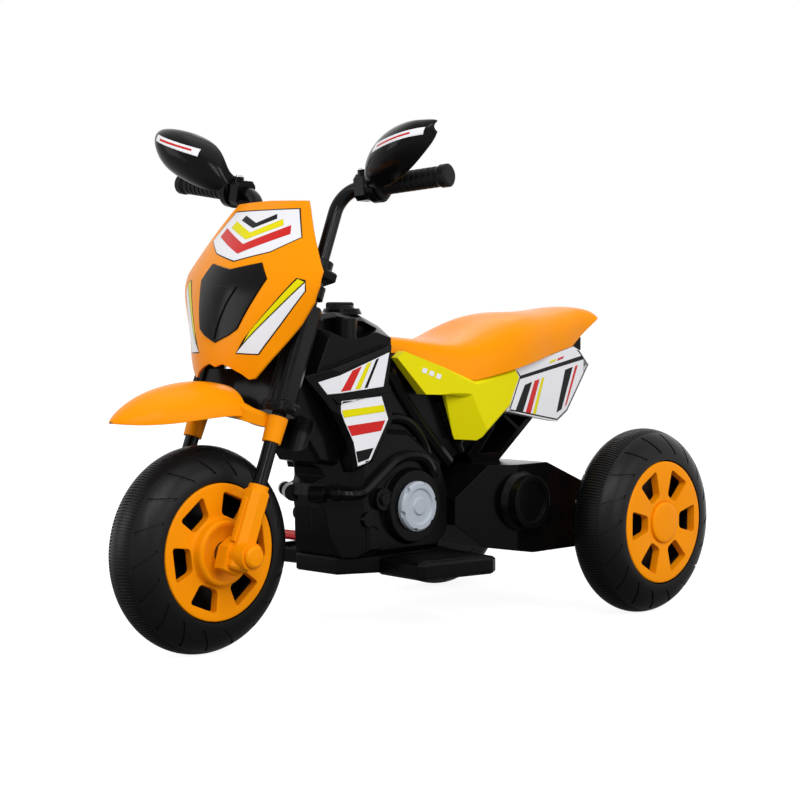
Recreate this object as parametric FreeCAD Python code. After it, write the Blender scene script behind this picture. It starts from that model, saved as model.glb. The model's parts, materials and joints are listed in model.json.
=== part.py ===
import FreeCAD, Part
import math
import os

# Kids' electric motorbike with one front wheel, two rear wheels and a raked steering fork.
# Millimetres. +X is forward, +Y is the rider's left, +Z is up and the ground is z = 0.

V = FreeCAD.Vector

# Wheels and track
WHEEL_R = 115.0
WHEEL_W = 70.0
WHEELBASE = 570.0
TRACK = 348.0
FRONT_AXLE_X = 283.0
RIM_R = 76.7
RIM_FACE = 35.0
RIM_DEEP = 11.0
RIM_WINDOWS = 6
WINDOW_IN_R = 40.0
WINDOW_OUT_R = 63.0
HUB_R = 26.0
WEB_HALF = 4.0
TYRE_SKIN = 5.0
RIM_LEDGE = 13.0
FRONT_BOSS_R = 36.0
FRONT_BOSS_H = 10.0
HUB_CAP_R = 25.6
DRIVE_PLATE = 3.0
AXLE_R = 5.0
BUSH_R = 8.0
BUSH_FLANGE_R = 12.0
BUSH_FLANGE = 1.6
NUT_R = 9.0
NUT_H = 6.0
TREAD_RIBS = 84
TREAD_DEEP = 1.6
TREAD_GAP = 3.2
TREAD_SPREAD = 44.0
SLASHES = 30

# Clearances
FIT = 0.15
RUN = 0.1
SEAM = 0.4

# Steering fork, drawn in its own axes: a forward, y left, s up along the tubes from the axle
RAKE = 21.0
FORK_Y = 67.0
TUBE_R = 8.0
TUBE_WALL = 1.6
TUBE_FOOT = 20.0
STEM_BACK = 32.0
STEM_R = 7.0
LEG_W = 26.0
LEG_TOP = 73.0
LEG_FOOT = -17.0
LEG_IN = 48.5
LEG_BOSS_OUT = 88.0
LEG_BOSS_R = 15.0
CAP_R = 12.0
CAP_H = 7.0
SLEEVE_S = 127.0
SLEEVE_TOP = 156.0
SLEEVE_R = 11.5
YOKE_S = 160.0
YOKE_H = 14.0
YOKE_R = 19.0
SHROUD_R = 16.0
SHROUD_TOP = 285.0
APRON_TOP = 205.0
APRON_A = 8.0
APRON_WALL = 4.0
NECK_R = 21.0
NECK_LONG = 138.0
NECK_BUSH_R = 11.0
NECK_FLANGE_R = 17.0
NECK_FLANGE = 2.0
TOP_YOKE_H = 12.0

# Handlebar
BAR_CORNER_S = 424.0
BAR_BEND_R = 30.0
BAR_SWEEP = -23.0
BAR_RISE = 12.0
BAR_REACH = 145.0
BAR_RIGHT_TURN = 10.5
GUARD_RIGHT_SWING = 14.0
GUARD_RIGHT_STRETCH = 1.10
CLAMP_AT = 28.0
CLAMP_LONG = 15.0
GUARD_AT = 46.5
GUARD_RING = 9.0
GUARD_RING_R = 19.0
GRIP_AT = 56.5
GRIP_R = 11.5
GRIP_FLANGE_R = 16.5
GRIP_RIBS = 9
GRIP_END = 3.0
GUARD_WALL = 3.0

# Front mask
MASK_WALL = 3.0
INSERT_RAISE = 1.5
INSERT_DEEP = 5.0
NOSE_RAISE = 1.6

# Body
WALL = 4.0
TANK_HALF = 46.0
TANK_RIDGE = 20.0
WING_HALF = 60.0
ENGINE_HALF = 56.0
BAY_HALF = 41.5
SPAR_R = 9.0
PIPE_R = 6.5
BAR_SIDES = 8
ENGINE_REAR_X = -62.0
ENGINE_NOSE_X = 84.0
ENGINE_LOW_Z = 92.0
CRANK_X = 9.0
CRANK_Z = 147.0
CRANK_R = 42.0
CRANK_FACE = 66.0
DISC_R = 29.5
DISC_H = 8.0
BAY_REAR_X = -150.0
PANEL_IN = 52.0
PANEL_OUT = 73.0
PANEL_WALL = 4.0
BATTERY_LONG = 101.0
BATTERY_W = 70.0
BATTERY_H = 47.0
BATTERY_X = -141.0
BATTERY_Z = 237.0

# Rear axle box
BOX_HALF = 106.0
BOX_NOSE_HALF = 64.0
BOX_TOP_Z = 190.0
BOX_LOW_Z = 80.0
BOX_REAR_X = -314.0
DRUM_X = -136.0
DRUM_Z = 145.0
DRUM_R = 32.0
DRUM_OUT = 124.0

# Foot boards and pedal
BOARD_TOP_Z = 90.0
BOARD_H = 20.0
PEDAL_X = 12.0
PEDAL_Y = -104.0
PEDAL_LONG = 50.0
PEDAL_W = 44.0
PEDAL_H = 8.0
PEDAL_TILT = 9.0
PEDAL_PIN_R = 2.5
PEDAL_PIN_UP = 7.0

# Direction switch on the right side of the tank
SWITCH_X = 92.0
SWITCH_Z = 342.0
SWITCH_LONG = 20.0
SWITCH_TALL = 12.0
SWITCH_WALL = 1.2
SWITCH_DEEP = 5.0
SWITCH_SINK = 3.0

REAR_AXLE_X = FRONT_AXLE_X - WHEELBASE
HALF_W = WHEEL_W / 2.0
RIM_SEAT = RIM_FACE - RIM_DEEP
NECK_S = YOKE_S + YOKE_H + NECK_FLANGE + 0.6
NECK_TOP = NECK_S + NECK_LONG
TOP_YOKE_S = NECK_TOP + NECK_FLANGE + 0.6

# Line of the seat's lower rim, front to back
SEAT_LINE = [(25.0, 330.0), (-91.0, 292.0), (-302.0, 331.0), (-369.0, 368.0)]


def seat_line_z(x):
    for (x0, z0), (x1, z1) in zip(SEAT_LINE, SEAT_LINE[1:]):
        if x >= x1:
            return z0 + (x - x0) * (z1 - z0) / (x1 - x0)
    return SEAT_LINE[-1][1]


def closed_wire(points):
    return Part.makePolygon(points + points[:1])


def side_wire(outline, y):
    return closed_wire([V(x, y, z) for x, z in outline])


def side_prism(outline, y0, y1):
    return Part.Face(side_wire(outline, y0)).extrude(V(0, y1 - y0, 0))


def plan_prism(outline, z0, z1):
    face = Part.Face(closed_wire([V(x, y, z0) for x, y in outline]))
    return face.extrude(V(0, 0, z1 - z0))


def front_prism(outline, x0, x1):
    face = Part.Face(closed_wire([V(x0, y, z) for y, z in outline]))
    return face.extrude(V(x1 - x0, 0, 0))


def inset(outline, depth):
    closing = outline[1:] + outline[:1]
    area = sum(p[0] * q[1] - q[0] * p[1] for p, q in zip(outline, closing))
    turn = math.copysign(1.0, area)
    normals = []
    for p, q in zip(outline, closing):
        length = math.hypot(q[0] - p[0], q[1] - p[1])
        normals.append((-turn * (q[1] - p[1]) / length, turn * (q[0] - p[0]) / length))
    moved = []
    for i, point in enumerate(outline):
        n0 = normals[i - 1]
        n1 = normals[i]
        step = depth / (1.0 + n0[0] * n1[0] + n0[1] * n1[1])
        moved.append((point[0] + (n0[0] + n1[0]) * step, point[1] + (n0[1] + n1[1]) * step))
    return moved


def panel(outline, y0, y1, edge):
    """Side prism with a bevelled outer rim."""
    step = math.copysign(edge, y1 - y0)
    wires = [side_wire(outline, y0), side_wire(outline, y1 - step), side_wire(inset(outline, edge), y1)]
    return Part.makeLoft(wires, True, True)


def slab(outline, z0, z1, edge):
    """Plan prism with its upper and lower rims bevelled."""
    def wire(points, z):
        return closed_wire([V(x, y, z) for x, y in points])
    small = inset(outline, edge)
    levels = [wire(small, z0), wire(outline, z0 + edge), wire(outline, z1 - edge), wire(small, z1)]
    return Part.makeLoft(levels, True, True)


def rod(start, end, radius):
    axis = end.sub(start)
    return Part.makeCylinder(radius, axis.Length, start, axis)


def rod_y(x, z, radius, y0, y1):
    return rod(V(x, y0, z), V(x, y1, z), radius)


def ring_y(x, z, outer, inner, y0, y1):
    return rod_y(x, z, outer, y0, y1).cut(rod_y(x, z, inner, y0, y1))


def hexagon_y(x, z, radius, y0, y1):
    corners = []
    for i in range(6):
        turn = math.radians(60 * i)
        corners.append((x + radius * math.cos(turn), z + radius * math.sin(turn)))
    return side_prism(corners, y0, y1)


def bent_bar(points, radius):
    """Many-sided bar along a smooth curve through the points."""
    curve = Part.BSplineCurve()
    curve.interpolate(points)
    along = curve.tangent(curve.FirstParameter)[0]
    side = along.cross(V(0, 0, 1))
    side.normalize()
    up = side.cross(along)
    corners = []
    for i in range(BAR_SIDES):
        angle = 2 * math.pi * i / BAR_SIDES
        corners.append(points[0] + side * (radius * math.cos(angle)) + up * (radius * math.sin(angle)))
    return Part.Wire([curve.toShape()]).makePipeShell([closed_wire(corners)], True, False)


def fuse(pieces):
    if len(pieces) == 1:
        return pieces[0]
    return pieces[0].multiFuse(pieces[1:]).removeSplitter()


def trim(solid, point, normal):
    size = 3000.0
    tool = Part.makeBox(size, size, size, V(-size / 2, -size / 2, 0))
    tool.Placement = FreeCAD.Placement(point, FreeCAD.Rotation(V(0, 0, 1), normal))
    return solid.cut(tool)


def mirrored(solid):
    return solid.mirror(V(0, 0, 0), V(0, 1, 0))


def group(solids):
    return Part.makeCompound(solids)


def both(solid):
    return group([solid, mirrored(solid)])


def fork_place():
    turn = FreeCAD.Rotation(V(0, 1, 0), -RAKE)
    return FreeCAD.Placement(V(FRONT_AXLE_X, 0, WHEEL_R), turn)


def on_fork(solid):
    moved = solid.copy()
    moved.Placement = fork_place().multiply(moved.Placement)
    return moved


def fork_point(a, y, s):
    return fork_place().multVec(V(a, y, s))


# Wheels, drawn about the Y axis at the origin

def tyre_profile():
    """Half section of the moulded wheel: round skin, ledges for the rims, web and hub."""
    lip = RIM_R + SEAM
    centre = WHEEL_R - HALF_W
    lip_y = math.sqrt(HALF_W ** 2 - (lip - centre) ** 2)
    hollow = HALF_W - TYRE_SKIN
    wall = lip + TYRE_SKIN
    wall_y = math.sqrt(hollow ** 2 - (wall - centre) ** 2)
    web_r = centre + math.sqrt(hollow ** 2 - WEB_HALF ** 2)
    bend = math.sqrt(0.5)
    start = V(BUSH_R + FIT, RIM_SEAT, 0)
    hub = Part.makePolygon([start, V(HUB_R, RIM_SEAT, 0), V(HUB_R + 2, WEB_HALF, 0), V(web_r, WEB_HALF, 0)])
    inside = Part.Arc(V(web_r, WEB_HALF, 0), V(centre + hollow * bend, hollow * bend, 0), V(wall, wall_y, 0))
    ledge = Part.makePolygon([V(wall, wall_y, 0), V(wall, RIM_SEAT - TYRE_SKIN, 0),
                              V(lip - RIM_LEDGE, RIM_SEAT - TYRE_SKIN, 0), V(lip - RIM_LEDGE, RIM_SEAT, 0),
                              V(lip, RIM_SEAT, 0), V(lip, lip_y, 0)])
    outside = Part.Arc(V(lip, lip_y, 0), V(centre + HALF_W * bend, HALF_W * bend, 0), V(WHEEL_R, 0, 0))
    edges = hub.Edges + [inside.toShape()] + ledge.Edges + [outside.toShape()]
    mirror = [edge.mirror(V(0, 0, 0), V(0, 1, 0)) for edge in edges]
    bore = Part.makeLine(start, V(start.x, -start.y, 0))
    return Part.Wire(Part.__sortEdges__(edges + mirror + [bore]))


def tread_cutter():
    """One groove across the crown, following its curve at an even depth."""
    centre = WHEEL_R - HALF_W
    radius = HALF_W - TREAD_DEEP
    turn = math.radians(TREAD_SPREAD)
    end = V(centre + radius * math.cos(turn), radius * math.sin(turn), 0)
    crown = Part.Arc(end, V(centre + radius, 0, 0), V(end.x, -end.y, 0)).toShape()
    outer = WHEEL_R + 5
    rim = Part.makePolygon([V(end.x, -end.y, 0), V(outer, -end.y - 6, 0), V(outer, end.y + 6, 0), end])
    face = Part.Face(Part.Wire([crown] + rim.Edges))
    groove = face.extrude(V(0, 0, TREAD_GAP))
    groove.translate(V(0, 0, -TREAD_GAP / 2))
    return groove


def slash_cutter(side):
    """One short slanted groove in the shoulder, above the rim."""
    middle = WHEEL_R - HALF_W + HALF_W * math.cos(math.radians(62))
    depth = HALF_W * math.sin(math.radians(62)) - 1.4
    slash = Part.makeBox(15.0, 8.0, 2.4, V(middle - 7.5, depth, -1.2))
    slash.rotate(V(middle, depth, 0), V(0, 0, 1), -28)
    slash.rotate(V(middle, depth, 0), V(0, 1, 0), 35)
    if side < 0:
        slash = mirrored(slash)
    return slash


def turned_copies(solid, count, offset=0.0):
    copies = []
    for i in range(count):
        copy = solid.copy()
        copy.rotate(V(0, 0, 0), V(0, 1, 0), offset + 360.0 * i / count)
        copies.append(copy)
    return copies


def make_tyre():
    blank = Part.Face(tyre_profile()).revolve(V(0, 0, 0), V(0, 1, 0), 360)
    tools = turned_copies(tread_cutter(), TREAD_RIBS)
    tools += turned_copies(slash_cutter(1), SLASHES)
    tools += turned_copies(slash_cutter(-1), SLASHES, 180.0 / SLASHES)
    return blank.cut(group(tools))


def window_cutter():
    """Rounded trapezoid window, wider at its outer side."""
    outer = math.radians(19.0)
    inner = math.radians(13.5)
    corners = [(WINDOW_IN_R * math.cos(inner), WINDOW_IN_R * math.sin(inner)),
               (WINDOW_OUT_R * math.cos(outer), WINDOW_OUT_R * math.sin(outer)),
               (WINDOW_OUT_R + 2.5, 0.0),
               (WINDOW_OUT_R * math.cos(outer), -WINDOW_OUT_R * math.sin(outer)),
               (WINDOW_IN_R * math.cos(inner), -WINDOW_IN_R * math.sin(inner))]
    block = side_prism(corners, 0, RIM_FACE + 20)
    upright = []
    for edge in block.Edges:
        if abs(edge.Vertexes[0].Y - edge.Vertexes[1].Y) > 1:
            if abs(edge.Vertexes[0].Z) > 1:
                upright.append(edge)
    return block.makeFillet(3.5, upright)


def rim_blank(boss_r, boss_h, hole_r):
    """Dished cover with a rolled outer lip and a raised centre."""
    face = RIM_FACE
    points = [(hole_r, RIM_SEAT), (RIM_R, RIM_SEAT), (RIM_R, face - 2), (RIM_R - 2, face),
              (RIM_R - 7, face), (RIM_R - 10, face - 2.5), (boss_r + 2, face - 2.5),
              (boss_r, face - 1), (boss_r - 1, face + boss_h - 1.5), (boss_r - 2.5, face + boss_h),
              (hole_r, face + boss_h)]
    profile = Part.Face(closed_wire([V(r, y, 0) for r, y in points]))
    return profile.revolve(V(0, 0, 0), V(0, 1, 0), 360)


def make_front_rim():
    blank = rim_blank(FRONT_BOSS_R, FRONT_BOSS_H, BUSH_FLANGE_R + SEAM)
    dish = Part.makeCone(FRONT_BOSS_R - 14, FRONT_BOSS_R - 7, 4.0,
                         V(0, RIM_FACE + FRONT_BOSS_H - 4, 0), V(0, 1, 0))
    return blank.cut(group(turned_copies(window_cutter(), RIM_WINDOWS, 8.0) + [dish]))


def make_rear_rim():
    blank = rim_blank(HUB_CAP_R + 6, 1.5, BUSH_FLANGE_R + 2)
    seat = rod_y(0, 0, HUB_CAP_R + SEAM, RIM_FACE - 1.5, RIM_FACE + 5)
    return blank.cut(group(turned_copies(window_cutter(), RIM_WINDOWS) + [seat]))


def make_hub_cap():
    low = RIM_FACE - 1.5
    points = [(0, low), (HUB_CAP_R, low), (HUB_CAP_R, low + 3.5), (HUB_CAP_R - 2, low + 5),
              (HUB_CAP_R - 7, low + 5), (HUB_CAP_R - 9, low + 3.6), (0, low + 4.4)]
    profile = Part.Face(closed_wire([V(r, y, 0) for r, y in points]))
    return profile.revolve(V(0, 0, 0), V(0, 1, 0), 360)


def make_bush():
    """Flanged plain bush from the outer side of a hub."""
    barrel = ring_y(0, 0, BUSH_R, AXLE_R + RUN, RIM_SEAT - 16, RIM_SEAT)
    flange = ring_y(0, 0, BUSH_FLANGE_R, AXLE_R + RUN, RIM_SEAT, RIM_SEAT + BUSH_FLANGE)
    return fuse([barrel, flange])


def wheel_parts(name, tyre, rim, centre):
    """Solids of one wheel, moved to its place on the axle."""
    pieces = {name + "_tyre": tyre, name + "_bushes": both(make_bush()), name + "_rims": both(rim)}
    placed = {}
    for node, solid in pieces.items():
        moved = solid.copy()
        moved.translate(centre)
        placed[node] = moved
    return placed


def front_wheel(tyre):
    return wheel_parts("front", tyre, make_front_rim(), V(FRONT_AXLE_X, 0, WHEEL_R))


def rear_wheel_left(tyre):
    centre = V(REAR_AXLE_X, TRACK / 2, WHEEL_R)
    pieces = wheel_parts("rear_left", tyre, make_rear_rim(), centre)
    cap = make_hub_cap()
    cap.translate(centre)
    pieces["rear_left_hub_cap"] = cap
    return pieces


def rear_wheel_right(left):
    pieces = {}
    for node, solid in left.items():
        pieces[node.replace("left", "right")] = mirrored(solid)
    pieces["drive_coupler"] = make_coupler()
    return pieces


def make_coupler():
    """Dog ring that carries the drive from the gearbox to the right rear wheel."""
    rim_y = -TRACK / 2 + RIM_FACE - 1.5
    ring = ring_y(REAR_AXLE_X, WHEEL_R, HUB_CAP_R, AXLE_R + 1.5, rim_y, -BOX_HALF - 12)
    dogs = []
    for i in range(3):
        turn = math.radians(120 * i)
        dogs.append(rod_y(REAR_AXLE_X + 18 * math.cos(turn), WHEEL_R + 18 * math.sin(turn), 4.0,
                          -BOX_HALF - 12, -BOX_HALF - 7))
    plate_y = -TRACK / 2 + RIM_FACE + 2.0
    plate = ring_y(REAR_AXLE_X, WHEEL_R, RIM_R - 4, AXLE_R + 1.5, plate_y, plate_y + DRIVE_PLATE)
    return fuse([ring, plate] + dogs)


def make_rear_axle():
    reach = TRACK / 2 + RIM_FACE - 2.5
    return rod_y(REAR_AXLE_X, WHEEL_R, AXLE_R, -reach, reach)


def make_rear_nuts():
    start = TRACK / 2 + RIM_SEAT + BUSH_FLANGE + 0.4
    nut = hexagon_y(REAR_AXLE_X, WHEEL_R, NUT_R, start, start + NUT_H)
    nut = nut.cut(rod_y(REAR_AXLE_X, WHEEL_R, AXLE_R + RUN, start, start + NUT_H))
    return group([nut, mirrored(nut)])


def make_axle_spacer():
    end = TRACK / 2 - RIM_SEAT - BUSH_FLANGE - 0.4
    return ring_y(REAR_AXLE_X, WHEEL_R, 10.0, AXLE_R + RUN, BOX_HALF + 0.2, end)


# Steering fork, drawn in fork axes and then leaned back

def bar_corner():
    return fork_point(0, FORK_Y, BAR_CORNER_S)


def bar_axis():
    axis = V(BAR_SWEEP, BAR_REACH, BAR_RISE)
    axis.normalize()
    return axis


def on_bar(solid):
    """Moves a solid drawn about the Y axis onto the left bar, y = 0 at the bend corner."""
    moved = solid.copy()
    turn = FreeCAD.Rotation(V(0, 1, 0), bar_axis())
    moved.Placement = FreeCAD.Placement(bar_corner(), turn).multiply(moved.Placement)
    return moved


def bar_length():
    return V(BAR_SWEEP, BAR_REACH, BAR_RISE).Length


def tube_path(foot, end):
    """Straight fork leg, one bend and the straight handlebar end."""
    corner = bar_corner()
    up = fork_point(0, FORK_Y, BAR_CORNER_S).sub(fork_point(0, FORK_Y, 0))
    up.normalize()
    out = bar_axis()
    half = up.getAngle(out) / 2.0
    cut = BAR_BEND_R * math.tan(half)
    bend_in = corner.sub(up * cut)
    bend_out = corner.add(out * cut)
    inward = out.sub(up)
    inward.normalize()
    centre = corner.add(inward * (BAR_BEND_R / math.cos(half)))
    to_corner = corner.sub(centre)
    to_corner.normalize()
    middle = centre.add(to_corner * BAR_BEND_R)
    low = Part.makeLine(fork_point(0, FORK_Y, foot), bend_in)
    bend = Part.Arc(bend_in, middle, bend_out).toShape()
    high = Part.makeLine(bend_out, corner.add(out * end))
    return Part.Wire([low, bend, high])


def swept_tube(radius, foot, end):
    path = tube_path(foot, end)
    start = fork_point(0, FORK_Y, foot)
    normal = fork_point(0, FORK_Y, foot + 1).sub(start)
    ring = Part.Wire([Part.makeCircle(radius, start, normal)])
    return path.makePipeShell([ring], True, True)


def make_fork_tube():
    end = bar_length() - GRIP_END - 0.5
    outer = swept_tube(TUBE_R, TUBE_FOOT, end)
    inner = swept_tube(TUBE_R - TUBE_WALL, TUBE_FOOT - 1, end + 1)
    return outer.cut(inner)


def octagon(width, chamfer):
    w = width / 2.0
    c = w - chamfer
    return [(w, -c), (w, c), (c, w), (-c, w), (-w, c), (-w, -c), (-c, -w), (c, -w)]


def make_lower_leg():
    outline = [(a, FORK_Y + y) for a, y in octagon(LEG_W, 7.0)]
    post = slab(outline, LEG_FOOT, LEG_TOP, 2.5)
    collar = Part.makeCylinder(TUBE_R + 3.2, 6.0, V(0, FORK_Y, LEG_TOP - 1))
    boss = rod_y(0, 0, LEG_BOSS_R, LEG_IN, LEG_BOSS_OUT)
    foot = [(17, -20), (19, 4), (8, 18), (-13, 18), (-15, -12), (-6, -22)]
    shoe = panel(foot, FORK_Y, LEG_IN, 3.0)
    rib = side_prism([(10, 10), (16, 12), (15, 60), (10, 66)], FORK_Y - 3, FORK_Y + 3)
    leg = fuse([post, collar, boss, shoe, rib])
    bore = Part.makeCylinder(TUBE_R + FIT, LEG_TOP + 10 - TUBE_FOOT, V(0, FORK_Y, TUBE_FOOT))
    hole = rod_y(0, 0, AXLE_R + FIT, LEG_IN - 1, LEG_BOSS_OUT + 1)
    pocket = rod_y(0, 0, NUT_R + 1.0, LEG_BOSS_OUT - NUT_H - 0.5, LEG_BOSS_OUT + 1)
    return on_fork(leg.cut(group([bore, pocket])).cut(hole))


def make_axle_cap():
    """Domed cap that covers the axle nut at the foot of a leg."""
    points = [(0, 0), (CAP_R, 0), (CAP_R, CAP_H - 3), (CAP_R - 2.5, CAP_H - 0.6), (0, CAP_H)]
    profile = Part.Face(closed_wire([V(r, LEG_BOSS_OUT + y, 0) for r, y in points]))
    return on_fork(profile.revolve(V(0, 0, 0), V(0, 1, 0), 360))


def make_front_axle():
    return on_fork(rod_y(0, 0, AXLE_R, -LEG_BOSS_OUT + 0.5, LEG_BOSS_OUT - 0.5))


def make_front_nuts():
    start = LEG_BOSS_OUT - NUT_H - 0.3
    nut = hexagon_y(0, 0, NUT_R, start, start + NUT_H - 0.4)
    nut = nut.cut(rod_y(0, 0, AXLE_R + RUN, start, start + NUT_H))
    return on_fork(group([nut, mirrored(nut)]))


def make_front_spacers():
    start = RIM_SEAT + BUSH_FLANGE + 0.3
    spacer = ring_y(0, 0, 10.0, AXLE_R + RUN, start, LEG_IN - 0.2)
    return on_fork(group([spacer, mirrored(spacer)]))


def yoke_outline():
    half = [(11, 30), (14, 56), (13, 84), (-13, 84), (-24, 54), (-44, 19)]
    back = -STEM_BACK - 20
    left = [(a, y) for a, y in half] + [(back, 12)]
    return left + [(a, -y) for a, y in reversed(left)]


def yoke_holes(s0, s1):
    holes = [Part.makeCylinder(STEM_R + FIT, s1 - s0, V(-STEM_BACK, 0, s0))]
    for y in (FORK_Y, -FORK_Y):
        holes.append(Part.makeCylinder(TUBE_R + FIT, s1 - s0, V(0, y, s0)))
    return group(holes)


def shroud_outline():
    """Ridged cover round one tube: a flat front with two long ridges."""
    r = SHROUD_R
    half = [(r + 1.5, 0), (r, 3), (r, 7), (r - 3, 11), (r - 7, r - 2), (-4, r), (-11, r - 5), (-14, 5)]
    left = [(a, y) for a, y in half]
    return left + [(a, -y) for a, y in reversed(half[1:])]


def make_fork_bridge():
    """Lower yoke with the two long fork covers and the apron between them."""
    plate = slab(yoke_outline(), YOKE_S, YOKE_S + YOKE_H, 2.0)
    pieces = [plate]
    for y in (FORK_Y, -FORK_Y):
        outline = [(a, y + b) for a, b in shroud_outline()]
        pieces.append(slab(outline, YOKE_S, SHROUD_TOP, 1.5))
        pieces.append(Part.makeCone(YOKE_R - 2, YOKE_R, 6.0, V(0, y, YOKE_S)))
        pieces.append(Part.makeCone(YOKE_R, SHROUD_R, 8.0, V(0, y, YOKE_S + 6)))
    apron = plan_prism([(APRON_A, -FORK_Y), (APRON_A + APRON_WALL, -FORK_Y),
                        (APRON_A + APRON_WALL + 5, 0), (APRON_A + APRON_WALL, FORK_Y),
                        (APRON_A, FORK_Y), (APRON_A + 5, 0)], YOKE_S, APRON_TOP)
    body = fuse(pieces + [apron])
    return on_fork(body.cut(yoke_holes(YOKE_S - 1, SHROUD_TOP + 1)))


def make_top_yoke():
    plate = slab(yoke_outline(), TOP_YOKE_S, TOP_YOKE_S + TOP_YOKE_H, 2.0)
    collars = []
    for y in (FORK_Y, -FORK_Y):
        collars.append(Part.makeCylinder(TUBE_R + 6, 10.0, V(0, y, TOP_YOKE_S + TOP_YOKE_H)))
    body = fuse([plate] + collars)
    return on_fork(body.cut(yoke_holes(TOP_YOKE_S - 1, TOP_YOKE_S + TOP_YOKE_H + 20)))


def make_stem():
    top = TOP_YOKE_S + TOP_YOKE_H + NUT_H + 4
    rod_part = Part.makeCylinder(STEM_R, top - YOKE_S, V(-STEM_BACK, 0, YOKE_S))
    head = Part.makeCylinder(STEM_R + 5, 4.0, V(-STEM_BACK, 0, YOKE_S - 4.2))
    neck = Part.makeCylinder(STEM_R, 4.4, V(-STEM_BACK, 0, YOKE_S - 4.2))
    return on_fork(fuse([rod_part, head, neck]))


def make_stem_nut():
    base = TOP_YOKE_S + TOP_YOKE_H + 0.2
    corners = []
    for i in range(6):
        turn = math.radians(60 * i)
        corners.append((-STEM_BACK + 12 * math.cos(turn), 12 * math.sin(turn)))
    nut = slab(corners, base, base + NUT_H + 2, 1.0)
    return on_fork(nut.cut(Part.makeCylinder(STEM_R + RUN, NUT_H + 4, V(-STEM_BACK, 0, base - 1))))


def make_neck_bush(upper):
    """Flanged bush of the steering neck; the flange carries the yoke."""
    base = V(-STEM_BACK, 0, NECK_S)
    barrel = Part.makeCylinder(NECK_BUSH_R, 22.0, base)
    flange = Part.makeCylinder(NECK_FLANGE_R, NECK_FLANGE, V(base.x, 0, NECK_S - NECK_FLANGE - 0.2))
    join = Part.makeCylinder(NECK_BUSH_R, 0.4, V(base.x, 0, NECK_S - 0.3))
    bush = fuse([barrel, flange, join])
    bush = bush.cut(Part.makeCylinder(STEM_R + RUN, 40.0, V(base.x, 0, NECK_S - 10)))
    if upper:
        bush = bush.mirror(V(0, 0, NECK_S + NECK_LONG / 2.0), V(0, 0, 1))
    return on_fork(bush)


def make_grip():
    start = GRIP_AT
    end = bar_length()
    rows = [(0, start), (GRIP_FLANGE_R - 1, start), (GRIP_FLANGE_R, start + 1.5),
            (GRIP_FLANGE_R - 1, start + 3.5), (GRIP_R + 0.5, start + 5)]
    pitch = (end - start - 22) / GRIP_RIBS
    for i in range(GRIP_RIBS):
        at = start + 8 + i * pitch
        rows += [(GRIP_R, at), (GRIP_R, at + pitch * 0.6), (GRIP_R - 0.9, at + pitch * 0.68),
                 (GRIP_R - 0.9, at + pitch * 0.92)]
    rows += [(GRIP_R + 1.2, end - 10), (GRIP_R + 1.2, end - 2), (GRIP_R - 1.5, end), (0, end)]
    profile = Part.Face(closed_wire([V(r, y, 0) for r, y in rows]))
    solid = profile.revolve(V(0, 0, 0), V(0, 1, 0), 360)
    return on_bar(solid.cut(rod_y(0, 0, TUBE_R + FIT, start - 1, end - GRIP_END)))


def make_clamp():
    """Split clamp block on the bar with its screw ear on top."""
    outline = [(-14, -11), (-9, -15), (9, -15), (14, -10), (14, 9), (8, 15), (-9, 15), (-14, 9)]
    block = panel(outline, CLAMP_AT, CLAMP_AT + CLAMP_LONG, 1.5)
    ear = rod(V(6, CLAMP_AT + CLAMP_LONG / 2, 10), V(6, CLAMP_AT + CLAMP_LONG / 2, 19), 5.5)
    body = fuse([block, ear])
    hole = rod_y(0, 0, TUBE_R + FIT, CLAMP_AT - 1, CLAMP_AT + CLAMP_LONG + 1)
    return on_bar(body.cut(hole))


def make_clamp_screw():
    top = V(6, CLAMP_AT + CLAMP_LONG / 2, 19.0)
    head = rod(top, V(top.x, top.y, top.z + 2.0), 4.0)
    slot = Part.makeBox(9.0, 1.2, 1.2, V(top.x - 4.5, top.y - 0.6, top.z + 1.0))
    return on_bar(head.cut(slot))


# Left hand guard sections: y, lower z, upper z, x of the rims, x of the crest
GUARD_ROWS = [(113.5, 506.0, 532.0, 130.0, 140.5), (122.0, 511.0, 544.0, 140.0, 149.0),
              (133.0, 510.0, 558.0, 140.5, 157.0), (153.0, 513.0, 571.0, 142.0, 166.0),
              (177.0, 521.0, 577.5, 146.0, 171.0), (199.0, 533.0, 579.5, 149.0, 169.0),
              (214.0, 548.0, 579.5, 146.0, 160.0), (222.5, 565.0, 578.5, 140.0, 147.0)]


def guard_section(row):
    y, low, high, rim, crest = row
    middle = (low + high) / 2.0
    half = (high - low) / 2.0
    bulge = rim + (crest - rim) * 0.63
    over = Part.BSplineCurve()
    over.interpolate([V(rim, y, low), V(bulge, y, middle - half * 0.66), V(crest, y, middle),
                      V(bulge, y, middle + half * 0.66), V(rim, y, high)])
    wall = GUARD_WALL
    under = Part.BSplineCurve()
    under.interpolate([V(rim - 1, y, high - wall * 0.5), V(bulge - wall, y, middle + half * 0.6),
                       V(crest - wall, y, middle), V(bulge - wall, y, middle - half * 0.6),
                       V(rim - 1, y, low + wall * 0.5)])
    top = Part.makeLine(V(rim, y, high), V(rim - 1, y, high - wall * 0.5))
    low_line = Part.makeLine(V(rim - 1, y, low + wall * 0.5), V(rim, y, low))
    return Part.Wire([over.toShape(), top, under.toShape(), low_line])


def make_guard(stretch=1.0):
    """Curved hand guard on the ring that holds it on the bar, stretched outwards from its first row."""
    inner_y = GUARD_ROWS[0][0]
    rows = [(inner_y + (row[0] - inner_y) * stretch,) + row[1:] for row in GUARD_ROWS]
    shell = Part.makeLoft([guard_section(row) for row in rows], True, False)
    ring = on_bar(rod_y(0, 0, GUARD_RING_R, GUARD_AT, GUARD_AT + GUARD_RING))
    body = fuse([shell, ring])
    return body.cut(on_bar(rod_y(0, 0, TUBE_R + FIT, GUARD_AT - 20, GUARD_AT + 40)))


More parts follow.
